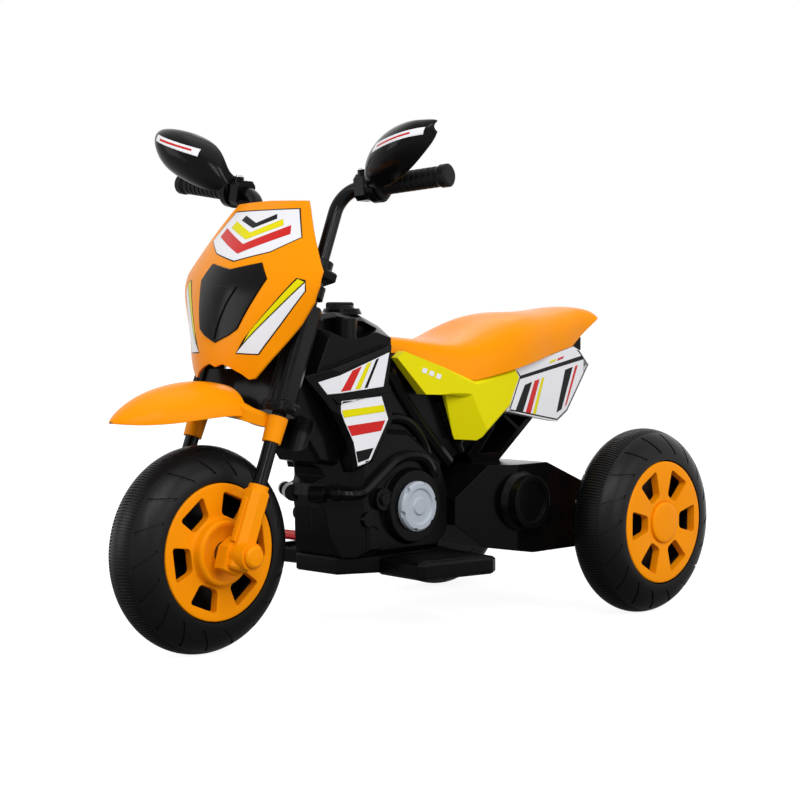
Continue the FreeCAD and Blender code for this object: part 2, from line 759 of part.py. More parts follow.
def right_bar(solid, swing=0.0):
    """Right-hand copy of a solid on the left bar, swung up about the bar and turned forward about the leg."""
    moved = solid.copy()
    moved.rotate(bar_corner(), bar_axis(), -swing)
    up = bar_corner().sub(fork_point(0, FORK_Y, 0))
    moved.rotate(bar_corner(), up, -BAR_RIGHT_TURN)
    return mirrored(moved)


# Front fender sections: x, crest z, half width, rim z
FENDER_ROWS = [(402.0, 261.5, 4.0, 258.5), (392.0, 269.0, 16.0, 257.5), (367.0, 284.0, 31.0, 257.0),
               (334.0, 295.0, 41.0, 259.0), (300.0, 300.0, 45.0, 262.0), (275.0, 299.5, 46.0, 263.0),
               (253.0, 296.0, 46.0, 262.0)]
FENDER_WALL = 3.0
# Fender stay sections: y, x from and to, z from and to
STAY_ROWS = [(35.0, 255.0, 269.0, 264.0, 280.0), (48.0, 245.0, 259.0, 257.0, 271.0), (61.0, 229.0, 243.0, 251.0, 263.0)]


def fender_section(row):
    x, crest, half, rim = row
    drop = (crest - rim) * 0.30
    over = Part.BSplineCurve()
    over.interpolate([V(x, -half, rim), V(x, -half * 0.72, crest - drop), V(x, 0, crest),
                      V(x, half * 0.72, crest - drop), V(x, half, rim)])
    inner_half = half - min(FENDER_WALL, half * 0.4)
    wall = min(FENDER_WALL, (crest - rim) * 0.45)
    under = Part.BSplineCurve()
    under.interpolate([V(x, inner_half, rim), V(x, inner_half * 0.70, crest - drop - wall),
                       V(x, 0, crest - wall), V(x, -inner_half * 0.70, crest - drop - wall),
                       V(x, -inner_half, rim)])
    right = Part.makeLine(V(x, half, rim), V(x, inner_half, rim))
    left = Part.makeLine(V(x, -inner_half, rim), V(x, -half, rim))
    return Part.Wire([over.toShape(), right, under.toShape(), left])


def fender_stay(side):
    """Stay that runs from the fender's flank down into a sleeve."""
    wires = []
    for y, x0, x1, z0, z1 in STAY_ROWS:
        wires.append(closed_wire([V(x0, side * y, z0), V(x1, side * y, z0), V(x1, side * y, z1),
                                  V((x0 + x1) / 2, side * y, z1 + 2), V(x0, side * y, z1)]))
    return Part.makeLoft(wires, True, True)


def make_fender():
    """Leaf-shaped front fender with its two sleeves on the fork tubes."""
    pieces = [Part.makeLoft([fender_section(row) for row in FENDER_ROWS], True, False)]
    for side in (1, -1):
        y = side * FORK_Y
        sleeve = Part.makeCone(SLEEVE_R - 1, SLEEVE_R, SLEEVE_TOP - SLEEVE_S - 4, V(0, y, SLEEVE_S))
        lip = Part.makeCylinder(SLEEVE_R, 4.0, V(0, y, SLEEVE_TOP - 4))
        pieces += [on_fork(sleeve), on_fork(lip), fender_stay(side)]
    body = fuse(pieces)
    for y in (FORK_Y, -FORK_Y):
        bore = Part.makeCylinder(TUBE_R + FIT, 60.0, V(0, y, SLEEVE_S - 10))
        body = body.cut(on_fork(bore))
    return body


# Front mask levels: z, x of the middle, and how far the sheet falls back at each of MASK_SPREAD
MASK_SPREAD = (45.0, 90.0, 120.0)
MASK_ROWS = [(510.0, 168.5, 2.0, 9.0, 17.0), (470.0, 202.5, 5.0, 20.0, 36.0), (432.0, 231.5, 7.0, 23.0, 40.0),
             (405.0, 245.0, 7.4, 24.0, 40.0), (370.0, 255.5, 7.6, 31.5, 56.0), (341.0, 259.6, 8.0, 40.0, 72.0),
             (318.0, 259.9, 9.0, 43.0, 80.0), (292.0, 255.0, 9.0, 43.0, 80.0)]
MASK_OUTLINE = [(0, 501), (58, 499), (65, 490), (113, 419), (113, 403), (108, 385), (95, 362), (71, 329),
                (58, 312), (50, 303), (44, 302), (36, 308), (23, 314.5), (11, 318.5), (0, 315)]
INSERT_OUTLINE = [(0, 422.5), (41, 429.5), (54.5, 411.5), (31, 357), (20, 350), (0, 342)]
NOSE_OUTLINE = [(0, 404), (21, 404), (12, 386), (5, 366), (0, 346)]


def whole_outline(half):
    return half + [(-y, z) for y, z in reversed(half[1:-1])]


def mask_layer(front, wall):
    """Curved sheet of the mask, moved forward by front and wall thick."""
    wires = []
    for row in MASK_ROWS:
        z, x = row[:2]
        half = list(zip(MASK_SPREAD, row[2:]))
        across = [(-y, fall) for y, fall in reversed(half)] + [(0.0, 0.0)] + half
        outer = Part.BSplineCurve()
        outer.interpolate([V(x + front - fall, y, z) for y, fall in across])
        inner = Part.BSplineCurve()
        inner.interpolate([V(x + front - wall - fall, y, z) for y, fall in reversed(across)])
        left = Part.makeLine(outer.EndPoint, inner.StartPoint)
        right = Part.makeLine(inner.EndPoint, outer.StartPoint)
        wires.append(Part.Wire([outer.toShape(), left, inner.toShape(), right]))
    return Part.makeLoft(wires, True, False)


def make_mask():
    sheet = mask_layer(0.0, MASK_WALL)
    shape = sheet.common(front_prism(whole_outline(MASK_OUTLINE), 100, 320))
    opening = whole_outline([(y + SEAM if y else 0.0, z) for y, z in INSERT_OUTLINE])
    return shape.cut(front_prism(inset(opening, -SEAM), 100, 320))


def make_insert():
    """Black panel of the mask with a raised nose down its middle."""
    sheet = mask_layer(INSERT_RAISE, INSERT_DEEP).common(front_prism(whole_outline(INSERT_OUTLINE), 100, 320))
    nose = mask_layer(INSERT_RAISE + NOSE_RAISE, INSERT_DEEP).common(front_prism(whole_outline(NOSE_OUTLINE), 100, 320))
    return fuse([sheet, nose])


def make_mask_bracket():
    """Bracket on the fork tubes that carries the mask from behind."""
    s = TOP_YOKE_S - 22.0
    pieces = []
    for y in (FORK_Y, -FORK_Y):
        pieces.append(Part.makeCylinder(TUBE_R + 5, 14.0, V(0, y, s)))
        arm = plan_prism([(0, y - 6), (55, y - 6), (55, y + 6), (0, y + 6)], s + 3, s + 11)
        pieces.append(arm)
    pieces.append(plan_prism([(14, -FORK_Y), (22, -FORK_Y), (22, FORK_Y), (14, FORK_Y)], s + 3, s + 11))
    body = fuse(pieces).cut(yoke_holes(s - 1, s + 20))
    return on_fork(body).cut(mask_layer(60.0, 60.0 + MASK_WALL + SEAM))


# Body half, drawn for the left side from the middle plane outwards

TANK_OUTLINE = [(164, 298), (148, 342), (140, 362), (128, 373), (98, 375), (58, 372), (26, 359), (26, 322),
                (40, 318), (70, 296)]
TANK_SIDE = [(150, 304), (136, 334), (130, 346), (122, 353), (96, 355), (58, 353), (30, 345), (30, 326),
             (40, 322), (72, 302)]
TANK_POCKET = [(138, 359), (120, 350), (97, 343), (70, 347), (42, 356), (60, 364), (98, 370), (122, 367)]
WING_OUTLINE = [(165, 303), (38, 337), (44, 286), (36, 250), (70, 202), (102, 192), (112, 228), (142, 274)]
FRAME_OUTLINE = [(166, 306), (182, 268), (160, 236), (136, 204), (108, 198), (60, 230), (60, 300)]
ENGINE_OUTLINE = [(134, 204), (122, 196), (118, 186), (130, 178), (132, 164), (118, 148), (114, 116),
                  (104, ENGINE_LOW_Z), (-44, ENGINE_LOW_Z), (ENGINE_REAR_X, 112), (ENGINE_REAR_X, 160),
                  (-48, 196), (10, 236), (70, 240)]


# Outward direction of the slanted front of the crankcase, left side
ENGINE_FACE = V(0.66, 0.75, 0)


def bay_outline():
    gap = SEAM
    return [(18, seat_line_z(18) - gap), (-91, seat_line_z(-91) - gap),
            (BAY_REAR_X, seat_line_z(BAY_REAR_X) - gap), (BAY_REAR_X, 236), (-104, 206), (-60, 190),
            (-20, 226), (34, 226), (34, 320), (26, 322)]


def neck_solid(radius):
    return on_fork(Part.makeCylinder(radius, NECK_LONG, V(-STEM_BACK, 0, NECK_S)))


def tank_half(pocket):
    """Fuel tank with leaned sides; a pocket shows the filler post under the tank's rim."""
    wires = [side_wire(TANK_OUTLINE, 0), side_wire(TANK_OUTLINE, TANK_RIDGE), side_wire(TANK_SIDE, TANK_HALF)]
    block = Part.makeLoft(wires, True, True)
    if not pocket:
        return block
    hollow = side_prism(TANK_POCKET, TANK_RIDGE + 2, TANK_HALF + 1)
    post = Part.makeCylinder(16.0, 38.0, V(90, TANK_RIDGE + 8, 330))
    return fuse([block.cut(hollow), post])


def wing_half():
    """Shroud wing beside the tank, with its step band and leaned front."""
    plate = panel(WING_OUTLINE, 20, WING_HALF, 5.0)
    plate = trim(plate, V(126, WING_HALF, 0), V(0.42, 0.9, 0))
    band = side_prism([(135, 278), (46, 290), (45, 283), (130, 271)], WING_HALF - 8, WING_HALF + 1.2)
    band = trim(band, V(128, WING_HALF + 1.2, 0), V(0.42, 0.9, 0))
    return fuse([plate, band])


def engine_half():
    """Crankcase side with round covers, cooling fins and the exhaust pipe."""
    block = panel(ENGINE_OUTLINE, 0, ENGINE_HALF, 6.0)
    block = trim(block, V(ENGINE_NOSE_X, ENGINE_HALF, 0), ENGINE_FACE)
    cover = Part.makeCone(CRANK_R + 4, CRANK_R, CRANK_FACE - ENGINE_HALF + 2,
                          V(CRANK_X, ENGINE_HALF - 2, CRANK_Z), V(0, 1, 0))
    small = rod_y(58, 158, 13, ENGINE_HALF - 2, ENGINE_HALF + 7)
    button = rod_y(58, 158, 7, ENGINE_HALF, ENGINE_HALF + 10)
    plug = rod_y(80, 136, 9, ENGINE_HALF - 2, ENGINE_HALF + 5)
    chest = panel([(82, 134), (62, 124), (58, 98), (82, 98)], ENGINE_HALF - 6, ENGINE_HALF + 4, 3.0)
    pieces = [block, cover, small, button, plug, chest]
    for i in range(4):
        z = 196.0 + 9.0 * i
        fin = side_prism([(96 - 3 * i, z), (40, z), (40, z + 4), (95 - 3 * i, z + 4)],
                         ENGINE_HALF - 20, ENGINE_HALF - 2)
        pieces.append(fin)
    side = ENGINE_HALF + 3
    pipe = [V(126, 22, 166), V(117, 42, 168), V(105, side - 2, 166.5), V(90, side, 168)]
    pipe += [V(x, side, z) for x, z in PIPE_LINE]
    pieces.append(bent_bar(pipe, PIPE_R))
    pieces.append(rod(V(131, 14, 166), V(121, 30, 166.5), PIPE_R + 3.5))
    pieces.append(rod(V(119, 39, 167.8), V(113.5, 47, 167.8), PIPE_R + 2))
    return fuse(pieces)


PIPE_LINE = [(76, 176), (61, 186), (46, 196), (31, 203), (16, 206), (2, 205.5), (-11, 202), (-21, 193), (-28, 178)]
SPAR_LINE = [(30, 306), (7, 276), (-22, 243), (-53, 212), (-74, 192)]
LOOP_LINE = [(46, 244), (26, 250), (2, 246), (-18, 231), (-32, 210), (-36, 190)]


def bay_half():
    """Battery bay under the seat, with a moulded shock absorber and two frame spars."""
    block = panel(bay_outline(), 0, BAY_HALF, 0.2)
    spar = bent_bar([V(x, BAY_HALF - 2, z) for x, z in SPAR_LINE], SPAR_R)
    loop = bent_bar([V(x, BAY_HALF + 1, z) for x, z in LOOP_LINE], PIPE_R)
    low = V(-96, BAY_HALF - 1, 204)
    high = V(-56, BAY_HALF - 1, 268)
    axis = high.sub(low)
    axis.normalize()
    shock = [rod(low, high, 6.0)]
    for i in range(7):
        start = low.add(axis * (12.0 + 7.5 * i))
        shock.append(Part.makeCylinder(9.0, 4.0, start, axis))
    return fuse([block, spar, loop] + shock)


def frame_half():
    return panel(FRAME_OUTLINE, 0, 36.0, 4.0)


def body_hollow():
    """Room inside the shells for the battery, the wiring and the bushes."""
    tank = side_prism(inset(TANK_OUTLINE, WALL + 6), -1, TANK_RIDGE - WALL)
    engine = side_prism(inset(ENGINE_OUTLINE, WALL + 2), -1, ENGINE_HALF - WALL)
    engine = trim(engine, V(ENGINE_NOSE_X, ENGINE_HALF, 0).sub(ENGINE_FACE * WALL), ENGINE_FACE)
    bay = side_prism(inset(bay_outline(), WALL), -1, BAY_HALF - WALL)
    wing = side_prism(inset(WING_OUTLINE, 12), -1, 34.0)
    return group([tank, engine, bay, wing])


def make_body(pocket):
    """Left half shell of the body: tank, wing, engine, battery bay and half of the steering neck."""
    neck = neck_solid(NECK_R)
    collar = on_fork(Part.makeCylinder(NECK_R + 3, 10.0, V(-STEM_BACK, 0, NECK_S)))
    outer = fuse([tank_half(pocket), frame_half(), wing_half(), engine_half(), bay_half(), neck, collar])
    shell = fuse([outer.cut(body_hollow()), neck, battery_shelf()])
    shell = trim(shell, V(0, 0, 0), V(0, -1, 0))
    bore = on_fork(Part.makeCylinder(NECK_BUSH_R + FIT, NECK_LONG + 2, V(-STEM_BACK, 0, NECK_S - 1)))
    hold = on_fork(Part.makeCylinder(NECK_R + 40, 60.0, V(-STEM_BACK, 0, NECK_S - 60)))
    cap_seat = Part.makeCylinder(CAP_SEAT_R, 30.0, V(CAP_X, 0, TANK_TOP_Z))
    cap_room = Part.makeCylinder(CAP_SEAT_R + 9, 30.0, V(CAP_X, 0, TANK_TOP_Z + 4))
    return shell.cut(fuse([cap_seat, cap_room])).cut(group([bore, hold]))


# Tank cap on the tank top
CAP_X = 66.0
CAP_SEAT_R = 20.0
TANK_TOP_Z = 368.0


def make_tank_cap():
    """Filler cap with a latch bar, set into the tank top."""
    base = Part.makeCylinder(CAP_SEAT_R - SEAM, 5.0, V(CAP_X, 0, TANK_TOP_Z))
    dome = Part.makeCone(CAP_SEAT_R + 4, CAP_SEAT_R + 1, 7.0, V(CAP_X, 0, TANK_TOP_Z + 4.6))
    crown = Part.makeCone(CAP_SEAT_R - 4, CAP_SEAT_R - 7, 4.0, V(CAP_X, 0, TANK_TOP_Z + 11))
    latch = slab([(CAP_X - 12, -8), (CAP_X + 18, -8), (CAP_X + 18, 8), (CAP_X - 12, 8)],
                 TANK_TOP_Z + 10, TANK_TOP_Z + 19, 1.5)
    return fuse([base, dome, crown, latch])


def make_engine_disc():
    """Pale disc on the crankcase with six edge notches and a stepped middle."""
    points = [(0, 0), (DISC_R, 0), (DISC_R, DISC_H - 2.5), (DISC_R - 2.5, DISC_H), (DISC_R - 8, DISC_H),
              (DISC_R - 10, DISC_H - 2.2), (11, DISC_H - 2.2), (9, DISC_H), (0, DISC_H)]
    profile = Part.Face(closed_wire([V(r, y, 0) for r, y in points]))
    disc = profile.revolve(V(0, 0, 0), V(0, 1, 0), 360)
    notch = rod_y(DISC_R + 0.5, 0, 4.2, DISC_H - 4.5, DISC_H + 1)
    disc = disc.cut(group(turned_copies(notch, 6, 15.0)))
    disc.translate(V(CRANK_X, CRANK_FACE, CRANK_Z))
    return disc


# Seat stations: x, half width, top z
SEAT_ROWS = [(25.0, 24.0, 346.0), (0.0, 36.0, 346.5), (-30.0, 50.0, 344.0), (-62.0, 61.0, 342.0),
             (-96.0, 70.0, 345.0), (-136.0, 75.0, 357.0), (-176.0, 74.0, 370.0), (-214.0, 68.0, 375.0),
             (-260.0, 58.0, 376.0), (-315.0, 48.0, 381.0), (-352.0, 42.0, 380.5), (-368.0, 38.0, 374.0)]
SEAT_WALL = 4.0


def seat_loft(shrink):
    """Rounded saddle over the seat stations, made smaller by shrink on all sides."""
    wires = []
    for x, half, top in SEAT_ROWS:
        w = half - shrink
        high = top - shrink
        low = 270.0
        rise = high - seat_line_z(x)
        over = Part.BSplineCurve()
        over.interpolate([V(x, w, low), V(x, w, seat_line_z(x) + rise * 0.25),
                          V(x, w * 0.86, high - rise * 0.24), V(x, w * 0.5, high - rise * 0.04),
                          V(x, 0, high),
                          V(x, -w * 0.5, high - rise * 0.04), V(x, -w * 0.86, high - rise * 0.24),
                          V(x, -w, seat_line_z(x) + rise * 0.25), V(x, -w, low)])
        floor = Part.makeLine(V(x, -w, low), V(x, w, low))
        wires.append(Part.Wire([over.toShape(), floor]))
    return Part.makeLoft(wires, True, False)


def make_seat():
    """Moulded saddle shell with a V-shaped lower rim."""
    below = [(60.0, 341.5)] + SEAT_LINE + [(-420.0, 396.0), (-420.0, 100.0), (60.0, 100.0)]
    cutter = side_prism(below, -200, 200)
    inner = seat_loft(SEAT_WALL)
    inner = trim(inner, V(SEAT_ROWS[0][0] - SEAT_WALL, 0, 0), V(1, 0, 0))
    inner = trim(inner, V(SEAT_ROWS[-1][0] + SEAT_WALL, 0, 0), V(-1, 0, 0))
    return seat_loft(0.0).cut(cutter).cut(inner)


SIDE_HORN = [(-166, 282), (-156, 259), (-100, 219), (-72, 221), (-50, 280), (-60, 288)]
SIDE_BOSSES = [(-20, 292), (-120, 284), (-100, 250)]


def side_blade_outline():
    gap = SEAM
    top = [(25, seat_line_z(25) - gap), (-91, seat_line_z(-91) - gap), (-166, seat_line_z(-166) - gap)]
    return [(36, 322)] + top + [(-174, 294), (-156, 262), (-52, 276), (-8, 278)]


def make_side_panel():
    """Bright side cover: a long blade under the seat with a bulged lower horn."""
    blade = panel(side_blade_outline(), PANEL_IN, PANEL_OUT, 4.0)
    blade = trim(blade, V(-70, PANEL_OUT, 0), V(0.10, 0.995, 0))
    horn = panel(SIDE_HORN, PANEL_IN, PANEL_OUT, 4.0)
    horn = trim(horn, V(-91, PANEL_OUT, 262), V(0.42, 0.85, -0.25))
    blade_hollow = side_prism(inset(side_blade_outline(), PANEL_WALL), PANEL_IN - 1, PANEL_IN + 5)
    horn_hollow = side_prism(inset(SIDE_HORN, PANEL_WALL), PANEL_IN - 1, PANEL_IN + 2)
    bosses = [rod_y(x, z, 6.0, BAY_HALF + SEAM, PANEL_IN + 6) for x, z in SIDE_BOSSES]
    wing = side_prism(inset(WING_OUTLINE, -SEAM), 0, WING_HALF + 2)
    shell = fuse([blade, horn]).cut(fuse([blade_hollow, horn_hollow]))
    return fuse([shell] + bosses).cut(wing)


def tail_plate_outline():
    gap = SEAM
    return [(-168, seat_line_z(-168) - gap), (-302, seat_line_z(-302) - gap), (-318, 325), (-340, 306),
            (-288, 246), (-264, 234), (-152, 252), (-158, 262), (-176, 294)]


def make_tail_plate():
    """Number panel under the seat's tail, leaned in towards the back."""
    outline = tail_plate_outline()
    plate = panel(inset(outline, SEAM), BAY_HALF + SEAM, PANEL_OUT - 4, 3.0)
    plate = trim(plate, V(-160, PANEL_OUT - 5, 0), V(-0.11, 0.994, 0))
    inner = side_prism(inset(outline, PANEL_WALL + SEAM), BAY_HALF, BAY_HALF + 8)
    return plate.cut(inner)


def tail_frame_outline():
    gap = SEAM
    return [(BAY_REAR_X, seat_line_z(BAY_REAR_X) - gap), (-302, seat_line_z(-302) - gap), (-330, 342),
            (-330, 326), (-262, 262), (-168, BOX_TOP_Z), (-118, BOX_TOP_Z), (-108, 200), (BAY_REAR_X, 236)]


TAIL_POCKET = [(-160, 290), (-286, 315), (-306, 316), (-250, 264), (-170, 200), (-130, 200), (-160, 232)]


def make_tail_frame():
    """Slanted strut from the axle box to the tail: a web with a rim and two ribs on each side."""
    body = side_prism(tail_frame_outline(), -BAY_HALF, BAY_HALF)
    pocket = side_prism(TAIL_POCKET, 2.5, BAY_HALF + 1)
    high_rib = side_prism([(-330, 244), (-170, 300), (-170, 305), (-330, 249)], 0, BAY_HALF + 2)
    low_rib = side_prism([(-240, 200), (-150, 262), (-150, 268), (-240, 206)], 0, BAY_HALF + 2)
    pocket = pocket.cut(group([high_rib, low_rib]))
    return body.cut(group([pocket, mirrored(pocket)]))


# Rear axle box

def box_outline():
    return [(ENGINE_REAR_X, 150), (-98, BOX_TOP_Z), (-184, BOX_TOP_Z), (-254, 162), (BOX_REAR_X, 139),
            (BOX_REAR_X, BOX_LOW_Z + 8), (BOX_REAR_X + 10, BOX_LOW_Z), (-158, BOX_LOW_Z), (-92, 90),
            (ENGINE_REAR_X, 118)]


def box_plan(shrink):
    half = BOX_HALF - shrink
    nose = BOX_NOSE_HALF - shrink
    front = ENGINE_REAR_X - shrink
    rear = BOX_REAR_X + shrink
    left = [(front, nose), (-128, half), (rear + 14, half), (rear, half - 14)]
    return left + [(x, -y) for x, y in reversed(left)]


def make_axle_box():
    """Rear axle housing, open below, with the round drums on both sides."""
    outer = side_prism(box_outline(), -BOX_HALF - 5, BOX_HALF + 5).common(plan_prism(box_plan(0), 0, 300))
    inner = side_prism(inset(box_outline(), WALL), -BOX_HALF, BOX_HALF)
    inner = inner.common(plan_prism(box_plan(WALL), 0, 300))
    mouth = plan_prism(base_outline(0.0), BOX_LOW_Z - 5, BOX_LOW_Z + 8)
    shell = outer.cut(inner).cut(mouth)
    drums = []
    for side in (1, -1):
        cone = Part.makeCone(DRUM_R + 5, DRUM_R, 8.0, V(DRUM_X, side * (BOX_HALF - 2), DRUM_Z), V(0, side, 0))
        face = rod_y(DRUM_X, DRUM_Z, DRUM_R, side * BOX_HALF, side * DRUM_OUT)
        dish = rod_y(DRUM_X, DRUM_Z, DRUM_R - 7, side * (DRUM_OUT - 3), side * (DRUM_OUT + 1))
        boss = rod_y(REAR_AXLE_X, WHEEL_R, 15.0, side * (BOX_HALF - 26), side * BOX_HALF)
        drums += [cone, face.cut(dish), boss]
    shell = fuse([shell] + drums)
    inside = rod_y(DRUM_X, DRUM_Z, DRUM_R - 10, -DRUM_OUT + 8, DRUM_OUT - 8)
    axle = rod_y(REAR_AXLE_X, WHEEL_R, AXLE_R + FIT, -BOX_HALF - 1, BOX_HALF + 1)
    return shell.cut(group([inside])).cut(axle).cut(gearbox_room())


def base_outline(shrink):
    half = BOX_HALF - WALL - 4 - shrink
    return [(-166 - shrink, half), (BOX_REAR_X + 26 + shrink, half), (BOX_REAR_X + 26 + shrink, -half),
            (-166 - shrink, -half)]


def make_box_base():
    """Cover plate under the axle box."""
    return slab(base_outline(SEAM), BOX_LOW_Z, BOX_LOW_Z + WALL, 0.5)


def gearbox_outline():
    return [(REAR_AXLE_X - 18, 98), (REAR_AXLE_X + 22, 90), (-214, 98), (-206, 120), (-214, 150),
            (-238, 158), (REAR_AXLE_X + 18, 140), (REAR_AXLE_X - 14, 133)]


def make_gearbox():
    """Closed gear case round the right end of the axle; its boss reaches through the box wall."""
    case = panel(gearbox_outline(), -52, -BOX_HALF + WALL + 0.3, 2.0)
    boss = rod_y(REAR_AXLE_X, WHEEL_R, 24.0, -BOX_HALF + 8, -BOX_HALF - 6)
    shape = fuse([case, boss])
    return shape.cut(rod_y(REAR_AXLE_X, WHEEL_R, AXLE_R + FIT, -BOX_HALF - 10, 0))


def gearbox_room():
    grown = side_prism(inset(gearbox_outline(), -SEAM), -52 + SEAM, -BOX_HALF + WALL)
    boss = rod_y(REAR_AXLE_X, WHEEL_R, 24.0 + FIT, -BOX_HALF + 8, -BOX_HALF - 8)
    return group([grown, boss])


def make_motor():
    """Small can motor bolted to the inner side of the gear case."""
    at = V(-228, -51.8, 128)
    can = Part.makeCylinder(18.0, 56.0, at, V(0, 1, 0))
    back = Part.makeCylinder(8.0, 4.0, V(at.x, at.y + 56.0, at.z), V(0, 1, 0))
    return fuse([can, back])


def make_battery():
    """Six-volt block lying on the shelf of the bay under the seat."""
    half = BATTERY_W / 2.0
    block = slab([(BATTERY_X, -half), (BATTERY_X + BATTERY_LONG, -half), (BATTERY_X + BATTERY_LONG, half),
                  (BATTERY_X, half)], BATTERY_Z, BATTERY_Z + BATTERY_H, 2.0)
    lugs = []
    for y in (-20, 20):
        lugs.append(Part.makeBox(6.0, 5.0, 7.0, V(BATTERY_X + BATTERY_LONG - 12, y - 2.5, BATTERY_Z + BATTERY_H - 0.5)))
    return fuse([block] + lugs)


def battery_shelf():
    return side_prism([(BATTERY_X - 2, BATTERY_Z - 4.2), (BATTERY_X + BATTERY_LONG + 4, BATTERY_Z - 4.2),
                       (BATTERY_X + BATTERY_LONG + 4, BATTERY_Z - 0.2), (BATTERY_X - 2, BATTERY_Z - 0.2)],
                      0, BAY_HALF - 1)


def board_outline():
    return [(60, 54), (67, 124), (60, 132), (-36, 148), (-46, 143), (-58, 70), (-58, 54)]


def board_hollow(pan_outline):
    """Underside hollow of the boards and the pan, with a block left round the pedal switch."""
    z0 = BOARD_TOP_Z - BOARD_H
    wing = plan_prism(inset(board_outline(), 6.0), z0 - 1, BOARD_TOP_Z - 10)
    pan = plan_prism(inset(pan_outline, 6.0), z0 - 1, ENGINE_LOW_Z - 8)
    block = Part.makeBox(34.0, 24.0, 40.0, V(PEDAL_X + 10, PEDAL_Y - 12, z0 - 2))
    return group([wing, pan, mirrored(wing).cut(block)])


def make_foot_board():
    """Belly pan with a foot board on each side and a recess for the pedal."""
    z0 = BOARD_TOP_Z - BOARD_H
    wing = slab(board_outline(), z0, BOARD_TOP_Z, 3.0)
    lip = slab(inset(board_outline(), 9.0), BOARD_TOP_Z - 1, BOARD_TOP_Z + 1.5, 0.6)
    pan_outline = [(108, 34), (60, 56), (-58, 56), (-58, -56), (60, -56), (108, -34)]
    pan = slab(pan_outline, z0 + 2, ENGINE_LOW_Z, 2.0)
    left = fuse([wing, lip])
    board = fuse([pan, left, mirrored(left)])
    cleats = []
    for i in range(5):
        for side in (1, -1):
            y = side * (78.0 + 12.0 * i)
            cleats.append(Part.makeBox(60.0, 3.0, 3.0, V(-30, y - 1.5, BOARD_TOP_Z + 0.2)))
    room = Part.makeBox(PEDAL_LONG + 8, PEDAL_W + 6, 20.0,
                        V(PEDAL_X - 8, PEDAL_Y - PEDAL_W / 2 - 3, BOARD_TOP_Z - 5))
    board = board.cut(group(cleats)).cut(room).cut(board_hollow(pan_outline))
    lugs = []
    for y in (PEDAL_Y - PEDAL_W / 2 + 6, PEDAL_Y + PEDAL_W / 2 - 12):
        lugs.append(Part.makeBox(9.0, 6.0, PEDAL_PIN_UP + 4.0, V(PEDAL_X - 4.5, y, BOARD_TOP_Z - 5.5)))
    board = fuse([board] + lugs)
    pin = rod_y(PEDAL_X, BOARD_TOP_Z - 5 + PEDAL_PIN_UP, PEDAL_PIN_R + FIT, PEDAL_Y - PEDAL_W,
                PEDAL_Y + PEDAL_W)
    pin_room = pin.common(Part.makeBox(40.0, PEDAL_W + 5, 60.0,
                                       V(PEDAL_X - 20, PEDAL_Y - PEDAL_W / 2 - 2.5, BOARD_TOP_Z - 20)))
    return board.cut(pin_room).cut(switch_room())


def pedal_pin_z():
    return BOARD_TOP_Z - 5 + PEDAL_PIN_UP


def make_pedal():
    """Foot pedal plate with grip bars, hinged at its back edge."""
    half = PEDAL_W / 2.0
    z = pedal_pin_z()
    plate = panel([(-5, -2), (PEDAL_LONG - 6, -2), (PEDAL_LONG, 1), (PEDAL_LONG, PEDAL_H - 3),
                   (PEDAL_LONG - 4, PEDAL_H), (-2, PEDAL_H - 1), (-5, 3)], -half, half, 1.0)
    bars = []
    for i in range(4):
        bars.append(Part.makeBox(4.0, PEDAL_W - 8, 3.0, V(10 + 9.5 * i, -half + 4, PEDAL_H - 1.5)))
    body = fuse([plate] + bars)
    slots = []
    for y in (-half + 5.4, half - 12.6):
        slots.append(Part.makeBox(14.0, 7.2, 20.0, V(-8, y, -6)))
    body = body.cut(group(slots))
    body.rotate(V(0, 0, 0), V(0, 1, 0), -PEDAL_TILT)
    body.translate(V(PEDAL_X, PEDAL_Y, z))
    return body.cut(rod_y(PEDAL_X, z, PEDAL_PIN_R + RUN, PEDAL_Y - PEDAL_W, PEDAL_Y + PEDAL_W))


def make_pedal_pin():
    half = PEDAL_W / 2.0
    return rod_y(PEDAL_X, pedal_pin_z(), PEDAL_PIN_R, PEDAL_Y - half + 1, PEDAL_Y + half - 1)


def switch_room():
    return Part.makeBox(22.0, 12.0, 12.0, V(PEDAL_X + 16 - SEAM, PEDAL_Y - 6, BOARD_TOP_Z - 16))


def make_pedal_switch():
    """Snap switch under the pedal that closes the motor's circuit."""
    case = Part.makeBox(22.0 - 2 * SEAM, 12.0 - 2 * SEAM, 10.4,
                        V(PEDAL_X + 16, PEDAL_Y - 6 + SEAM, BOARD_TOP_Z - 15.8))
    return case


def on_tank_right(solid):
    """Moves a solid drawn about the origin, with -Y outwards, to the switch on the right of the tank."""
    moved = solid.copy()
    moved.translate(V(SWITCH_X, -TANK_HALF + SWITCH_SINK, SWITCH_Z))
    return moved


def centred_box(x, y0, y1, z):
    return Part.makeBox(x, y1 - y0, z, V(-x / 2.0, y0, -z / 2.0))


def switch_pocket():
    long = SWITCH_LONG + 2 * SWITCH_WALL + 2 * FIT
    tall = SWITCH_TALL + 2 * SWITCH_WALL + 2 * FIT
    return on_tank_right(centred_box(long, -SWITCH_SINK - 1, SWITCH_DEEP + SWITCH_WALL + FIT, tall))


